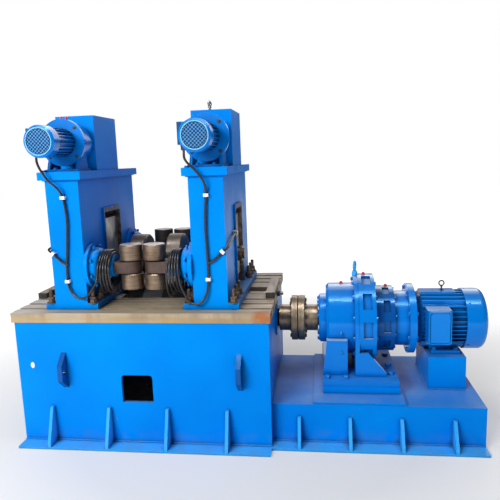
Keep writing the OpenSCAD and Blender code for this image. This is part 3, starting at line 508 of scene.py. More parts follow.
# Painted shade: the second stage is in the darker copy of the paint, and its rounded edges are lighter as
# painted highlights.
dress("second_stage_ring", SHADED_GLOSS, CAST_EDGE, GLOSS)
dress("drive_motor", FINNED, FINE_EDGE, HIGHLIGHT_PAINT)
dress("table_plate", TABLE, TABLE_EDGE, WORN)
dress("screw_brackets", SHADE_SIDED_STEEL, FINE_EDGE)
dress("main_roller", WELL)
dress("coupling_left_half", COUPLING)
dress("coupling_right_half", COUPLING)
for side in SIDES:
    dress(side + "_column_frame", COLUMN, PLATE_EDGE)
    for plate in ("foot_plate", "cap_plate", "gear_housing"):
        dress(side + "_" + plate, BLUE, PLATE_EDGE, HIGHLIGHT_PAINT)
    dress(side + "_guide_bosses", BLUE, CAST_EDGE, HIGHLIGHT_PAINT)
    dress(side + "_jack_motor", JACK, FINE_EDGE, HIGHLIGHT_PAINT)
    dress(side + "_jack_cowl", GLOSS, FINE_EDGE, HIGHLIGHT_PAINT)
    dress(side + "_screws", TURNED)
    dress(side + "_guide_arms", ARM, CAST_EDGE)
    dress(side + "_cable_clips", WHITE, FINE_EDGE)
    dress(side + "_branch_cable", RUBBER)
    dress(side + "_front_guide_rollers", ROLLER)
    dress(side + "_back_guide_rollers", SHADED_BACK_ROLLER)
    dress(side + "_press_slide", SLIDE, FINE_EDGE)
    dress(side + "_press_roller", PRESS)


# Mesh tools

SHARP = 35
WELD_SHARP = 60


def piece(name, mesh, material, body, sharp=SHARP):
    """Closes a mesh as a named piece that moves with a body."""
    bmesh.ops.recalc_face_normals(mesh, faces=mesh.faces)
    data = bpy.data.meshes.new(name)
    mesh.to_mesh(data)
    mesh.free()
    data.polygons.foreach_set("use_smooth", [True] * len(data.polygons))
    data.set_sharp_from_angle(angle=math.radians(sharp))
    data.materials.append(material)
    made = bpy.data.objects.new(name, data)
    bpy.context.collection.objects.link(made)
    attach(made, body)


def stood(origin, axis):
    """The matrix that stands local +Z along axis at origin."""
    return Matrix.Translation(origin) @ Vector(axis).to_track_quat("Z", "Y").to_matrix().to_4x4()


def skin(mesh, rings):
    """Faces between rings of points; a ring of one point closes to a tip."""
    made = [[mesh.verts.new(p) for p in ring] for ring in rings]
    for low, high in zip(made, made[1:]):
        count = max(len(low), len(high))
        for k in range(count):
            m = (k + 1) % count
            corners = [low[k % len(low)], low[m % len(low)], high[m % len(high)], high[k % len(high)]]
            corners = list(dict.fromkeys(corners))
            if len(corners) > 2:
                mesh.faces.new(corners)


def lathe(mesh, profile, at, sides=24):
    """A profile of (radius, height) points turned about local Z."""
    rings = []
    for radius, height in profile:
        count = sides if radius > 0 else 1
        angles = [2 * math.pi * k / sides for k in range(count)]
        rings.append([at @ Vector((radius * math.cos(a), radius * math.sin(a), height)) for a in angles])
    skin(mesh, rings)


def tube(mesh, path, radii, sides):
    """A round bar along a path, with its own radius at each point and closed ends."""
    rings = []
    side = None
    for k, point in enumerate(path):
        heading = (path[min(k + 1, len(path) - 1)] - path[max(k - 1, 0)]).normalized()
        side = heading.orthogonal() if side is None else side - heading * side.dot(heading)
        side.normalize()
        other = heading.cross(side)
        angles = [2 * math.pi * n / sides for n in range(sides)]
        rings.append([point + radii[k] * (math.cos(a) * side + math.sin(a) * other) for a in angles])
    skin(mesh, [[path[0]]] + rings + [[path[-1]]])


HEXAGON = 6
WASHER_SIDES = 20
THREAD_SIDES = 12
PLUG_SIDES = 16
LOCK_NUT_TURN = math.radians(24)
EYE_STEPS = 28
EYE_SIDES = 10


def bolt(mesh, at, size):
    """A hexagon head of that thread size, with chamfered corners and its washer."""
    washer = 1.08 * size
    seat = 0.16 * size
    corner = 0.9 * size
    top = seat + 0.64 * size
    chamfer = 0.12 * size
    lathe(mesh, [(0, 0), (washer, 0), (washer, 0.7 * seat), (size, seat), (0, seat)], at, WASHER_SIDES)
    head = [(0, seat), (corner, seat), (corner, top - chamfer), (0.84 * corner, top), (0, top)]
    lathe(mesh, head, at, HEXAGON)


def bolt_circle(mesh, centre, axis, radius, count, size):
    """Bolts evenly round a circle, the first one half a step from local X."""
    at = stood(centre, axis)
    for k in range(count):
        turn = Matrix.Rotation(2 * math.pi * (k + 0.5) / count, 4, "Z")
        bolt(mesh, at @ turn @ Matrix.Translation((radius, 0, 0)), size)


def thread_profile(radius, low, high, pitch):
    """The saw-tooth outline of a screw thread, with a chamfered tip."""
    count = int((high - low) / pitch)
    root = 0.86 * radius
    tip = low + (count + 0.4) * pitch
    outline = [(0, low), (root, low)]
    for k in range(count):
        base = low + k * pitch
        outline += [(radius, base + 0.35 * pitch), (radius, base + 0.55 * pitch), (root, base + pitch)]
    return outline + [(0.7 * radius, tip), (0, tip)]


def stud(mesh, at, size, length):
    """A T-bolt's upper end: thick washer, nut, lock nut and threaded tip."""
    washer = 1.25 * size
    plate = 0.22 * size
    nut = plate + 0.85 * size
    lock = 0.55 * size
    corner = 0.92 * size
    flat = 0.78 * size
    chamfer = 0.1 * size
    lathe(mesh, [(0, 0), (washer, 0), (washer, plate), (0, plate)], at, WASHER_SIDES)
    lathe(mesh, [(0, plate), (corner, plate), (corner, nut - chamfer), (flat, nut), (0, nut)], at, HEXAGON)
    lathe(mesh, thread_profile(0.5 * size, nut - 0.05 * size, length, 0.16 * size), at, THREAD_SIDES)
    above = at @ Matrix.Translation((0, 0, nut)) @ Matrix.Rotation(LOCK_NUT_TURN, 4, "Z")
    upper = [(0, 0), (flat, 0), (corner, chamfer), (corner, lock - chamfer), (flat, lock), (0, lock)]
    lathe(mesh, upper, above, HEXAGON)


def eye_bolt(mesh, at, radius, wire):
    """A lifting eye on its collar, in the plane of local X and Z."""
    collar = 1.9 * wire
    neck = 1.2 * wire
    top = 1.2 * wire
    lathe(mesh, [(0, 0), (collar, 0), (collar, 0.7 * wire), (neck, top), (0, top)], at)
    centre = Vector((0, 0, top + radius + 0.4 * wire))
    angles = [2 * math.pi * k / EYE_STEPS for k in range(EYE_STEPS + 1)]
    ring = [at @ (centre + Vector((radius * math.sin(a), 0, -radius * math.cos(a)))) for a in angles]
    tube(mesh, ring, [wire] * len(ring), EYE_SIDES)


def eye_on_post(mesh, place, post, sides, lift, turn, radius, wire):
    """A lifting eye, turned by that many degrees, at that height of a turned post."""
    seat = stood(place, UP)
    lathe(mesh, post, seat, sides)
    above = seat @ Matrix.Translation((0, 0, lift)) @ Matrix.Rotation(math.radians(turn), 4, "Z")
    eye_bolt(mesh, above, radius, wire)


def plug(mesh, at, radius, height):
    """A filler plug: collar and a six-sided cap."""
    collar = 0.4 * height
    cap = 0.72 * radius
    foot = [(0, 0), (radius, 0), (radius, 0.3 * height), (0.75 * radius, collar), (0, collar)]
    lathe(mesh, foot, at, PLUG_SIDES)
    crown = [(0, collar), (cap, collar), (cap, 0.9 * height), (0.55 * radius, height), (0, height)]
    lathe(mesh, crown, at, HEXAGON)


CORNER_STEPS = 6
LIP_CORNER = 2.2
LIP_PROFILE = ((0.0, 0.0), (0.0, 0.5), (0.25, 1.0), (0.65, 1.0), (1.0, 0.0))


def rounded(at, half_x, half_y, corner, lift):
    """A rectangle with round corners, as points in the plane that lies lift above local XY."""
    points = []
    for quarter, (x, y) in enumerate(((1, 1), (-1, 1), (-1, -1), (1, -1))):
        for k in range(CORNER_STEPS + 1):
            turn = math.pi / 2 * (quarter + k / CORNER_STEPS)
            across = x * (half_x - corner) + corner * math.cos(turn)
            along = y * (half_y - corner) + corner * math.sin(turn)
            points.append(at @ Vector((across, along, lift)))
    return points


def lid_frame(mesh, at, half_x, half_y, lip, height):
    """The raised lip round a lid, domed across."""
    loops = []
    for inward, lift in LIP_PROFILE:
        edge = inward * lip
        loops.append(rounded(at, half_x - edge, half_y - edge, LIP_CORNER * lip - edge, lift * height))
    skin(mesh, loops + loops[:1])


WELD_STEP = 0.008
WELD_RISE = 0.25
WELD_DRIFT = 0.12
WELD_THIN = 0.78
WELD_RIPPLE = 0.16
WELD_UNEVEN = 0.06
WELD_SIDES = 6


def weld(mesh, start, end, lean, size, draws):
    """A bead of weld in the corner between two plates; lean points out of the corner."""
    start, end, lean = Vector(start), Vector(end), Vector(lean)
    count = max(3, int((end - start).length / WELD_STEP))
    path = []
    radii = []
    for k in range(count + 1):
        drift = draws.uniform(-WELD_DRIFT, WELD_DRIFT) * size
        path.append(start.lerp(end, k / count) + lean * (WELD_RISE * size + drift))
        uneven = draws.uniform(-WELD_UNEVEN, WELD_UNEVEN)
        radii.append(size * (WELD_THIN + WELD_RIPPLE * (k % 2) + uneven))
    tube(mesh, path, radii, WELD_SIDES)


DIAGONAL = 0.7071
CELL_MERGE = 0.0002


def perforated(mesh, at, radius, pitch, hole, depth):
    """A flat sheet of square cells with round holes, out to a radius."""
    reach = int(radius / pitch) + 1
    eighth = math.pi / 4
    for i in range(-reach, reach + 1):
        for j in range(-reach, reach + 1):
            centre = Vector(((i + j) * pitch * DIAGONAL, (i - j) * pitch * DIAGONAL, 0))
            if centre.length > radius - 0.4 * pitch:
                continue
            outer = []
            rim = []
            back = []
            for k in range(8):
                way = Vector((math.cos(k * eighth), math.sin(k * eighth), 0))
                span = pitch / 2 if k % 2 else pitch * DIAGONAL
                outer.append(at @ (centre + way * span))
                rim.append(at @ (centre + way * hole))
                back.append(at @ (centre + way * hole - UP * depth))
            skin(mesh, [outer, rim, back])
    bmesh.ops.remove_doubles(mesh, verts=mesh.verts, dist=CELL_MERGE)


# Motor cables

CABLE_DIAMETER = 0.012
CABLE_FRONT = -0.414
CURVE_STEPS = 8
CABLE_ROUNDNESS = 3
WIND_STEPS = 40
WIND_TURNS = 4
WIND_PLACE = (0.181, -0.310, 0.898)
WIND_OUTER = 0.106
WIND_INNER = 0.0935
WIND_HALF = 0.0235
WIND_SPLAY = 0.60
WIND_HANG = {"left": (0.004, 0.016, 0.006, 0.024, 0.012), "right": (0.006, 0.012, 0.004, 0.020, 0.036)}
ROUTES = {
    "left": [
        (-0.450, -0.468, 1.500), (-0.450, -0.468, 1.468), (-0.438, -0.463, 1.430), (-0.410, -0.455, 1.380),
        (-0.372, -0.436, 1.335), (-0.360, CABLE_FRONT, 1.290), (-0.353, CABLE_FRONT, 1.245),
        (-0.349, CABLE_FRONT, 1.170), (-0.355, CABLE_FRONT, 1.095), (-0.362, CABLE_FRONT, 1.025),
        (-0.372, CABLE_FRONT, 0.940), (-0.373, CABLE_FRONT, 0.862), (-0.367, -0.416, 0.830),
        (-0.352, -0.420, 0.800), (-0.329, -0.425, 0.782), (-0.300, -0.430, 0.776), (-0.270, -0.432, 0.785),
        (-0.248, -0.432, 0.808), (-0.231, -0.430, 0.832), (-0.216, -0.426, 0.858),
    ],
    "right": [
        (0.286, -0.468, 1.500), (0.286, -0.468, 1.468), (0.294, -0.466, 1.449), (0.308, -0.463, 1.432),
        (0.345, -0.451, 1.390), (0.369, -0.430, 1.340), (0.370, CABLE_FRONT, 1.285),
        (0.364, CABLE_FRONT, 1.210), (0.361, CABLE_FRONT, 1.140), (0.361, CABLE_FRONT, 1.080),
        (0.363, CABLE_FRONT, 1.010), (0.364, CABLE_FRONT, 0.950), (0.363, CABLE_FRONT, 0.868),
        (0.358, -0.418, 0.815), (0.349, -0.422, 0.788), (0.336, -0.426, 0.765), (0.319, -0.429, 0.750),
        (0.298, -0.432, 0.744), (0.270, -0.433, 0.753), (0.252, -0.432, 0.778), (0.236, -0.429, 0.810),
        (0.222, -0.426, 0.845),
    ],
}


def wound(turn, depth, radius, sign):
    """A point of the winding: turn in radians from the front over the top, depth from -1 to 1 along it."""
    spread = 1 + WIND_SPLAY * (1 - math.sin(turn)) / 2
    x = WIND_PLACE[0] - WIND_HALF * depth * spread
    y = WIND_PLACE[1] - radius * math.cos(turn)
    z = WIND_PLACE[2] + radius * math.sin(turn)
    return Vector((sign * x, y, z))


def slack(side, turn):
    """How much further out a turn of the outer layer hangs: most at the bottom, and each turn its own."""
    hangs = WIND_HANG[side]
    count = turn / (2 * math.pi)
    first = min(int(count), len(hangs) - 2)
    share = min(count - first, 1)
    bottom = max(0, -math.sin(turn)) ** 2
    return bottom * (hangs[first] + (hangs[first + 1] - hangs[first]) * share)


def winding(side, sign):
    """Two layers of turns on the guide's sleeve, the outer one inwards and the inner one back."""
    layer = WIND_TURNS * WIND_STEPS
    step = 2 * math.pi / WIND_STEPS
    points = []
    for k in range(layer + 1):
        points.append(wound(k * step, -1 + 2 * k / layer, WIND_OUTER + slack(side, k * step), sign))
    ramp = WIND_STEPS // 5
    for k in range(1, ramp):
        share = k / ramp
        ease = share * share * (3 - 2 * share)
        radius = WIND_OUTER + (WIND_INNER - WIND_OUTER) * ease
        points.append(wound((layer + k) * step, 1, radius, sign))
    for k in range(layer + 1):
        points.append(wound((layer + ramp + k) * step, 1 - 2 * k / layer, WIND_INNER, sign))
    return points


def smooth(route, steps):
    """Points on a curve through the route's points."""
    points = [Vector(p) for p in route]
    ends = [points[0]] + points + [points[-1]]
    path = []
    for a, b, c, d in zip(ends, ends[1:], ends[2:], ends[3:]):
        for k in range(steps):
            t = k / steps
            path.append(0.5 * (2 * b + (c - a) * t + (2 * a - 5 * b + 4 * c - d) * t * t
                               + (3 * b - a - 3 * c + d) * t * t * t))
    return path + [points[-1]]


def add_cable(side, sign):
    """One motor cable: out of its gland, down the column's front and wound up on the guide's sleeve."""
    turns = winding(side, sign)
    last = Vector(ROUTES[side][-1])
    onward = last + 2 * (turns[0] - last).length * (turns[1] - turns[0]).normalized()
    lead = smooth(ROUTES[side] + [turns[0], onward], CURVE_STEPS)
    path = lead[:-CURVE_STEPS] + turns[1:]
    data = bpy.data.curves.new(side + "_cable", "CURVE")
    data.dimensions = "3D"
    data.bevel_depth = CABLE_DIAMETER / 2
    data.bevel_resolution = CABLE_ROUNDNESS
    data.use_fill_caps = True
    spline = data.splines.new("POLY")
    spline.points.add(len(path) - 1)
    for point, place in zip(spline.points, path):
        point.co = (*place, 1)
    spline.use_smooth = True
    data.materials.append(RUBBER)
    cable = bpy.data.objects.new(side + "_cable", data)
    bpy.context.collection.objects.link(cable)
    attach(cable, side + "_column")
    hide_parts(side + "_motor_cable", side + "_cable_coil")


for side, sign in SIDES.items():
    add_cable(side, sign)
add_camera()


# Drive: fasteners, plugs and eyes of the reducer, coupling and motor

ring_low, ring_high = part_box("pin_gear_ring")
stage_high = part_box("second_stage_ring")[1]
adapter_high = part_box("motor_adapter")[1]
cover_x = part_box("reducer_housing")[0].x
motor_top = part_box("drive_motor")[1].z
stand_low, stand_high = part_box("motor_stand")
left_half_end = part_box("coupling_left_half")[1].x
right_half_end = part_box("coupling_right_half")[0].x
box_low, box_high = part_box("drive_terminal_box")
cowl_low, cowl_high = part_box("drive_motor_cowl")
DRIVE_Z = (ring_low.z + ring_high.z) / 2
SINK = 0.0005
OUTPUT_FLANGE = 0.022
ADAPTER_FLANGE = 0.035
COUPLING_FLANGE = 0.037
SOLE_TOP = 0.298
SOLE_BOLTS = ((0.945, 0.262), (1.040, 0.262), (1.278, 0.203), (1.278, 0.080))
SOLE_BOLT = 0.018
MOTOR_FOOT = 0.020
FOOT_BOLT = 0.012
FOOT_BOLT_Y = 0.118
FOOT_BOLT_INSET = 0.040
COWL_SCREW = 0.007
COWL_SCREWS = 4
COWL_SCREW_INSET = 0.018
REDUCER_EYE_X = 1.103
REDUCER_CROWN = 0.2395
REDUCER_SHOULDER = 0.1965
MOTOR_EYE_X = 1.570
LID_INSET = 0.0025
LID_PANEL = 0.005
LID_LIP = 0.008
LID_LIFT = 0.0065

# Turned profiles: radius and height
REDUCER_POST = ((0, 0), (0.016, 0), (0.016, 0.020), (0.012, 0.026), (0, 0.026))
MOTOR_POST = ((0, 0), (0.010, 0), (0.010, 0.004), (0.0045, 0.007), (0.0045, 0.022), (0, 0.022))
GEAR_POST = ((0, 0), (0.010, 0), (0.010, 0.004), (0.0055, 0.008), (0.0055, 0.014), (0, 0.014))

# Bolt circles: place on the drive axis, way, radius, count and size
DRIVE_CIRCLES = (
    (cover_x, -1, 0.114, 8, 0.011),
    (ring_low.x - OUTPUT_FLANGE, -1, 0.219, 12, 0.012),
    (ring_high.x, 1, 0.216, 12, 0.013),
    (stage_high.x, 1, 0.166, 10, 0.010),
    (adapter_high.x - ADAPTER_FLANGE, -1, 0.173, 8, 0.012),
    (adapter_high.x, 1, 0.171, 8, 0.012),
)
COUPLING_CIRCLES = (
    (left_half_end - COUPLING_FLANGE, -1, 0.101, 8, 0.012),
    (right_half_end + COUPLING_FLANGE, 1, 0.101, 8, 0.012),
)

# Plugs: place, radius and height
SIDE_PLUGS = (((1.020, -0.1945, 0.520), 0.010, 0.014), ((1.017, -0.2245, 0.424), 0.013, 0.012))
OIL_PLUG = (0.011, 0.013)
OIL_PLUGS = (
    (1.028, 0, DRIVE_Z + REDUCER_SHOULDER),
    (1.150, 0, ring_high.z - SINK),
    (1.270, 0, stage_high.z - SINK),
)


def on_axis(x):
    """A point on the drive's axis."""
    return Vector((x, 0, DRIVE_Z))


bolts = bmesh.new()
for x, way, radius, count, size in DRIVE_CIRCLES:
    bolt_circle(bolts, on_axis(x), way * TO_RIGHT, radius, count, size)
for y in (-1, 1):
    for x, reach in SOLE_BOLTS:
        bolt(bolts, stood((x, y * reach, SOLE_TOP), UP), SOLE_BOLT)
    for x in (stand_low.x + FOOT_BOLT_INSET, stand_high.x - FOOT_BOLT_INSET):
        bolt(bolts, stood((x, y * FOOT_BOLT_Y, stand_high.z + MOTOR_FOOT), UP), FOOT_BOLT)
for k in range(COWL_SCREWS):
    turn = 2 * math.pi * (k + 0.5) / COWL_SCREWS
    way = Vector((0, math.cos(turn), math.sin(turn)))
    seat = on_axis(cowl_low.x + COWL_SCREW_INSET) + way * (cowl_high.z - DRIVE_Z - SINK)
    bolt(bolts, stood(seat, way), COWL_SCREW)
for place, radius, height in SIDE_PLUGS:
    plug(bolts, stood(place, TO_FRONT), radius, height)
piece("drive_bolts", bolts, GLOSS, "base")

mesh = bmesh.new()
crown_top = (REDUCER_EYE_X, 0, DRIVE_Z + REDUCER_CROWN)
eye_on_post(mesh, crown_top, REDUCER_POST, 24, lift=0.0255, turn=75, radius=0.022, wire=0.0065)
# Painted highlight: the reducer's eye is in the lighter paint.
piece("reducer_eye", mesh, HIGHLIGHT_PAINT, "base")
mesh = bmesh.new()
fin_top = (MOTOR_EYE_X, 0, motor_top - 2 * SINK)
eye_on_post(mesh, fin_top, MOTOR_POST, 16, lift=0.0210, turn=0, radius=0.0135, wire=0.0036)
piece("motor_eye", mesh, EYE, "base")

mesh = bmesh.new()
lid_middle = Vector(((box_low.x + box_high.x) / 2, box_low.y + LID_PANEL, (box_low.z + box_high.z) / 2))
lid_frame(mesh, stood(lid_middle, TO_FRONT), (box_high.x - box_low.x) / 2 - LID_INSET,
          (box_high.z - box_low.z) / 2 - LID_INSET, LID_LIP, LID_LIFT)
piece("terminal_lid_lip", mesh, BLUE, "base")

plugs = bmesh.new()
for place in OIL_PLUGS:
    plug(plugs, stood(place, UP), *OIL_PLUG)
piece("oil_plugs", plugs, RED, "base")

bolts = bmesh.new()
for x, way, radius, count, size in COUPLING_CIRCLES:
    bolt_circle(bolts, on_axis(x), way * TO_RIGHT, radius, count, size)
piece("coupling_bolts", bolts, RUST, "drive_line")

# Grille: a perforated sheet, a ring round it, as distance out and height, and a dark disc behind it as
# painted shade
MOTOR_GRILLE = 0.128
MOTOR_RING = ((-0.020, 0.0016), (-0.018, 0.003), (0, 0.003), (0.004, 0.0))
MOTOR_RING_SIDES = 64
MOTOR_SHEET_LIFT = 0.0012
MOTOR_SHEET_INSET = 0.010
MOTOR_SHADE_LIFT = 0.0004
MOTOR_SHADE_INSET = 0.004
cowl_end = stood(on_axis(cowl_high.x), TO_RIGHT)
mesh = bmesh.new()
sheet = stood(on_axis(cowl_high.x + MOTOR_SHEET_LIFT), TO_RIGHT)
perforated(mesh, sheet, MOTOR_GRILLE - MOTOR_SHEET_INSET, pitch=0.017, hole=0.0060, depth=0.001)
lathe(mesh, [(MOTOR_GRILLE + out, lift) for out, lift in MOTOR_RING], cowl_end, MOTOR_RING_SIDES)
piece("motor_grille", mesh, GLOSS, "base")
mesh = bmesh.new()
disc = [(0, MOTOR_SHADE_LIFT), (MOTOR_GRILLE - MOTOR_SHADE_INSET, MOTOR_SHADE_LIFT)]
lathe(mesh, disc, cowl_end, MOTOR_RING_SIDES)
piece("motor_grille_shade", mesh, SHADE, "base")


# Columns: jack motors, guide bosses and clamp bolts

SLOT_PLACES = [s * y for y in (0.2017, 0.2968, 0.3920) for s in (-1, 1)]
STUD_REACH = 0.114
STUD_SIZE = 0.020
STUD_LENGTH = 0.072
BOSS_Y = 0.310
BOSS_Z = 0.925
BOSS_FLANGE = 0.020
JACK_FLANGE_FRONT = 0.163
JACK_PAD = 0.012
PAD_BOLT_X = 0.042
PAD_BOLT_FRONT = 0.174
CAP_BOLT_X = 0.090
CAP_BOLT_Y = -0.400
JACK_BOLT = 0.012
JACK_RIM = 0.010
JACK_GRILLE_DEPTH = 0.004
JACK_GRILLE_EDGE = 0.001
JACK_RING = ((-0.006, 0.0016), (-0.005, 0.0042), (-0.001, 0.0042), (-0.0002, 0.0))
JACK_RING_SIDES = 48
JACK_SHEET_LIFT = 0.0022
JACK_SHADE_LIFT = 0.0005
GEAR_EYE_X = 0.359
GEAR_EYE_INSET = 0.030
JACK_PLUGS_X = (-0.367, -0.338)
JACK_PLUG_FRONT = 0.155
JACK_PLUG_SINK = 0.004
PRESS_END = 0.012
PRESS_NUT = 0.046
PRESS_NUT_BACK = 0.0135

# Bolt circles: radius, count and size
BOSS_CIRCLE = (0.106, 8, 0.010)
JACK_CIRCLE = (0.101, 4, 0.008)

# Plug: radius and height
JACK_PLUG = (0.008, 0.014)

# Turned profiles: radius and height, with the nut's radius as a share of its size
GLAND_NUT = (
    (0.0066, 0.001), (0.0085, 0.0), (0.0125, 0.004), (0.0135, 0.010), (0.0135, 0.018), (0.0115, 0.0185),
)
GLAND_NECK = ((0.0115, 0.0185), (0.0145, 0.0185), (0.0145, 0.024), (0.0115, 0.0245))
PRESS_NUT_SHAPE = ((0.6, 0), (1, 0), (1.06, 0.003), (1.06, 0.009), (0.95, 0.012), (0.6, 0.012))

for side, sign in SIDES.items():
    body = side + "_column"
    frame_low, frame_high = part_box(side + "_column_frame")
    cap_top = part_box(side + "_cap_plate")[1].z
    foot_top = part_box(side + "_foot_plate")[1].z
    gear_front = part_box(side + "_gear_housing")[0].y
    face_low, face_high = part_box(side + "_jack_cowl")
    middle = (frame_low.x + frame_high.x) / 2
    jack_z = (face_low.z + face_high.z) / 2
    cowl_r = (face_high.z - face_low.z) / 2
    inner = frame_low.x if sign > 0 else frame_high.x

    studs = bmesh.new()
    for x in (-STUD_REACH, STUD_REACH):
        for y in SLOT_PLACES:
            stud(studs, stood((middle + x, y, foot_top), UP), STUD_SIZE, STUD_LENGTH)
    piece(side + "_clamp_studs", studs, RUST, body)

    bolts = bmesh.new()
    for y in (-BOSS_Y, BOSS_Y):
        bolt_circle(bolts, (inner - sign * BOSS_FLANGE, y, BOSS_Z), -sign * TO_RIGHT, *BOSS_CIRCLE)
    piece(side + "_boss_bolts", bolts, BLUE, body)

    bolts = bmesh.new()
    bolt_circle(bolts, (middle, gear_front - JACK_FLANGE_FRONT, jack_z), TO_FRONT, *JACK_CIRCLE)
    # Painted shade: the flange bolts are near-black, standing in for the dark bolt holes.
    piece(side + "_flange_bolts", bolts, SHADE_SIDED_STEEL, body)

    bolts = bmesh.new()
    for x in (-PAD_BOLT_X, PAD_BOLT_X):
        bolt(bolts, stood((middle + x, gear_front - PAD_BOLT_FRONT, cap_top + JACK_PAD), UP), JACK_BOLT)
    for x in (-CAP_BOLT_X, CAP_BOLT_X):
        bolt(bolts, stood((middle + x, CAP_BOLT_Y, cap_top), UP), JACK_BOLT)
    piece(side + "_jack_bolts", bolts, GLOSS, body)

    face = Vector((middle, face_low.y + JACK_GRILLE_DEPTH, jack_z))
    front = stood(face, TO_FRONT)
    grille_r = cowl_r - JACK_RIM
    mesh = bmesh.new()
    sheet = stood(face + TO_FRONT * JACK_SHEET_LIFT, TO_FRONT)
    perforated(mesh, sheet, grille_r - JACK_GRILLE_EDGE, pitch=0.0122, hole=0.0056, depth=0.0015)
    piece(side + "_jack_grille", mesh, GRILLE, body)
    # Painted highlight: the ring round each grille is in a pale paint.
    mesh = bmesh.new()
    lathe(mesh, [(grille_r + out, lift) for out, lift in JACK_RING], front, JACK_RING_SIDES)
    piece(side + "_grille_ring", mesh, RING_HIGHLIGHT, body)
    mesh = bmesh.new()
    disc = [(0, JACK_SHADE_LIFT), (grille_r - JACK_GRILLE_EDGE, JACK_SHADE_LIFT)]
    lathe(mesh, disc, front, JACK_RING_SIDES)
    piece(side + "_jack_grille_shade", mesh, SHADE, body)

    mesh = bmesh.new()
    gland = stood(ROUTES[side][0], UP)
    lathe(mesh, GLAND_NUT, gland, HEXAGON)
    lathe(mesh, GLAND_NECK, gland, WASHER_SIDES)
    piece(side + "_cable_gland", mesh, RUBBER, body)

for side, sign in SIDES.items():
    roller_low, roller_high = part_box(side + "_press_roller")
    end = roller_high.x if sign > 0 else roller_low.x
    axis = Vector((end - sign * PRESS_END, 0, BOSS_Z))
    behind = stood(axis - sign * TO_RIGHT * PRESS_NUT_BACK, sign * TO_RIGHT)
    mesh = bmesh.new()
    lathe(mesh, [(PRESS_NUT * share, height) for share, height in PRESS_NUT_SHAPE], behind, HEXAGON)
    piece(side + "_press_nut", mesh, RUST, side + "_press")

mesh = bmesh.new()
gear_low, gear_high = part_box("right_gear_housing")
gear_top = (GEAR_EYE_X, gear_low.y + GEAR_EYE_INSET, gear_high.z - SINK)
eye_on_post(mesh, gear_top, GEAR_POST, 16, lift=0.0135, turn=65, radius=0.0105, wire=0.0055)
piece("gear_eye", mesh, ZINC, "right_column")

plugs = bmesh.new()
jack_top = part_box("left_jack_motor")[1].z
gear_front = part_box("left_gear_housing")[0].y
for x in JACK_PLUGS_X:
    plug(plugs, stood((x, gear_front - JACK_PLUG_FRONT, jack_top - JACK_PLUG_SINK), UP), *JACK_PLUG)
piece("jack_plugs", plugs, RED, "left_column")


# Base: welds and the plug in the front wall

WELD_SEED = 7
LEAN = 0.7
FLOOR_T = 0.012
WALL_WELD = 0.007
DRIVE_WELD = 0.006
STAND_WELD = 0.005
FOOT_WELD = 0.006
CAP_WELD = 0.005
FOOT_WELD_GAP = 0.122
WALL_PLUG_X = -0.582
WALL_PLUG_Z = 0.427
WALL_PLUG_SQUEEZE = (0.8, 1.2, 1, 1)
WALL_PLUG_SHAPE = ((0.0135, 0.0), (0.0135, 0.002), (0.011, 0.0035), (0, 0.004))

draws = random.Random(WELD_SEED)
front_low, front_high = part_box("base_front_wall")
drive_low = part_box("drive_side_walls")[0]
top_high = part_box("drive_top_plate")[1]
front_left = (stand_low.x, stand_low.y, top_high.z)
front_right = (stand_high.x, stand_low.y, top_high.z)
back_left = (stand_low.x, stand_high.y, top_high.z)
back_right = (stand_high.x, stand_high.y, top_high.z)
drive_start = (drive_low.x, drive_low.y, FLOOR_T)
drive_end = (top_high.x, drive_low.y, FLOOR_T)
beads = bmesh.new()
for y, way in ((front_low.y, -1), (-front_low.y, 1)):
    wall_start = (front_low.x, y, FLOOR_T)
    wall_end = (front_high.x, y, FLOOR_T)
    weld(beads, wall_start, wall_end, (0, LEAN * way, LEAN), WALL_WELD, draws)
weld(beads, drive_start, drive_end, (0, -LEAN, LEAN), DRIVE_WELD, draws)
weld(beads, front_left, front_right, (0, -LEAN, LEAN), STAND_WELD, draws)
weld(beads, front_right, back_right, (LEAN, 0, LEAN), STAND_WELD, draws)
weld(beads, front_left, back_left, (-LEAN, 0, LEAN), STAND_WELD, draws)
piece("base_welds", beads, BLUE, "base", WELD_SHARP)

for side in SIDES:
    frame_low, frame_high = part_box(side + "_column_frame")
    beads = bmesh.new()
    for x, lean in ((frame_low.x, -LEAN), (frame_high.x, LEAN)):
        for start, end in ((frame_low.y, -FOOT_WELD_GAP), (FOOT_WELD_GAP, frame_high.y)):
            weld(beads, (x, start, frame_low.z), (x, end, frame_low.z), (lean, 0, LEAN), FOOT_WELD, draws)
    for y, lean in ((frame_low.y, -LEAN), (frame_high.y, LEAN)):
        cap_start = (frame_low.x, y, frame_high.z)
        cap_end = (frame_high.x, y, frame_high.z)
        weld(beads, cap_start, cap_end, (0, lean, -LEAN), CAP_WELD, draws)
    piece(side + "_column_welds", beads, BLUE, side + "_column", WELD_SHARP)

mesh = bmesh.new()
dot = stood((WALL_PLUG_X, front_low.y, WALL_PLUG_Z), TO_FRONT) @ Matrix.Diagonal(WALL_PLUG_SQUEEZE)
lathe(mesh, WALL_PLUG_SHAPE, dot, 32)
piece("wall_plug", mesh, WHITE, "base")


# Floor and light

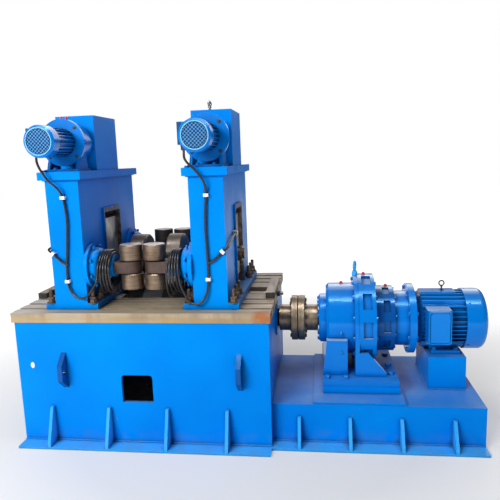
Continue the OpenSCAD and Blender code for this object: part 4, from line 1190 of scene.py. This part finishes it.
FLOOR_SIZE = 40
FLOOR_MIDDLE = (0.5, 0, 0)
FLOOR_DROP = 0.0005
FLOOR_GREY = (0.55, 0.55, 0.55)
GLOW_START = 1.0
GLOW_END = 3.4
GLOW_LOW = 0.25
floor_mesh = bmesh.new()
bmesh.ops.create_grid(floor_mesh, x_segments=1, y_segments=1, size=FLOOR_SIZE / 2)
floor_data = bpy.data.meshes.new("floor")
floor_mesh.to_mesh(floor_data)
floor_mesh.free()
floor_look = Look("floor", Base_Color=FLOOR_GREY, Roughness=0.6, Emission_Color=(1, 1, 1))
glow = floor_look.band(floor_look.away_from(FLOOR_MIDDLE), GLOW_START, GLOW_END, GLOW_LOW, 1.0)
floor_look.set("Emission Strength", glow)
floor_data.materials.append(floor_look.material)
floor = bpy.data.objects.new("floor", floor_data)
floor.location.z = -FLOOR_DROP
bpy.context.collection.objects.link(floor)


def soft_light(name, place, aim, width, height, power, colour=(1, 1, 1)):
    """A lamp of that width and height, which the camera doesn't see."""
    data = bpy.data.lights.new(name, "AREA")
    data.shape = "RECTANGLE"
    data.size = width
    data.size_y = height
    data.energy = power
    data.color = colour
    lamp = bpy.data.objects.new(name, data)
    lamp.location = place
    lamp.rotation_euler = (Vector(aim) - Vector(place)).to_track_quat("-Z", "Y").to_euler()
    lamp.visible_camera = False
    bpy.context.collection.objects.link(lamp)
    return lamp


WARM = (1.0, 0.92, 0.90)
soft_light("key", (-2.2, -5.2, 3.3), (0.4, 0, 0.8), width=3.0, height=1.2, power=345)
soft_light("strip", (0.6, -0.75, 5.0), (0.6, -0.1, 0.6), width=6.0, height=0.5, power=58)
rim = soft_light("rim", (0.6, 5.0, 3.6), (0.5, 0, 0.9), width=7.0, height=2.5, power=150, colour=WARM)
rim.visible_diffuse = False
sheen = soft_light("sheen", (0.8, -1.3, 4.6), (0.8, 0, 0.6), width=5.0, height=0.25, power=150)
sheen.visible_diffuse = False

BACKDROP = (1, 1, 1, 1)
SKY_TINT = (0.92, 0.95, 1.0, 1)
SKY_FROM = -0.1
SKY_TO = 0.8
SKY_LOW = 0.04
SKY_HIGH = 0.22
world = bpy.data.worlds.new("studio")
world.use_nodes = True
bpy.context.scene.world = world
tree = world.node_tree
for node in list(tree.nodes):
    tree.nodes.remove(node)
seen = tree.nodes.new("ShaderNodeBackground")
seen.inputs["Color"].default_value = BACKDROP
seen.inputs["Strength"].default_value = 1.0
lit = tree.nodes.new("ShaderNodeBackground")
lit.inputs["Color"].default_value = SKY_TINT
height = tree.nodes.new("ShaderNodeSeparateXYZ")
tree.links.new(tree.nodes.new("ShaderNodeTexCoord").outputs["Generated"], height.inputs["Vector"])
sky = tree.nodes.new("ShaderNodeMapRange")
sky.inputs["From Min"].default_value = SKY_FROM
sky.inputs["From Max"].default_value = SKY_TO
sky.inputs["To Min"].default_value = SKY_LOW
sky.inputs["To Max"].default_value = SKY_HIGH
tree.links.new(height.outputs["Z"], sky.inputs["Value"])
tree.links.new(sky.outputs["Result"], lit.inputs["Strength"])
ray = tree.nodes.new("ShaderNodeLightPath")
blend = tree.nodes.new("ShaderNodeMixShader")
out = tree.nodes.new("ShaderNodeOutputWorld")
tree.links.new(ray.outputs["Is Camera Ray"], blend.inputs["Fac"])
tree.links.new(lit.outputs["Background"], blend.inputs[1])
tree.links.new(seen.outputs["Background"], blend.inputs[2])
tree.links.new(blend.outputs["Shader"], out.inputs["Surface"])
bpy.context.scene.view_settings.view_transform = "Standard"
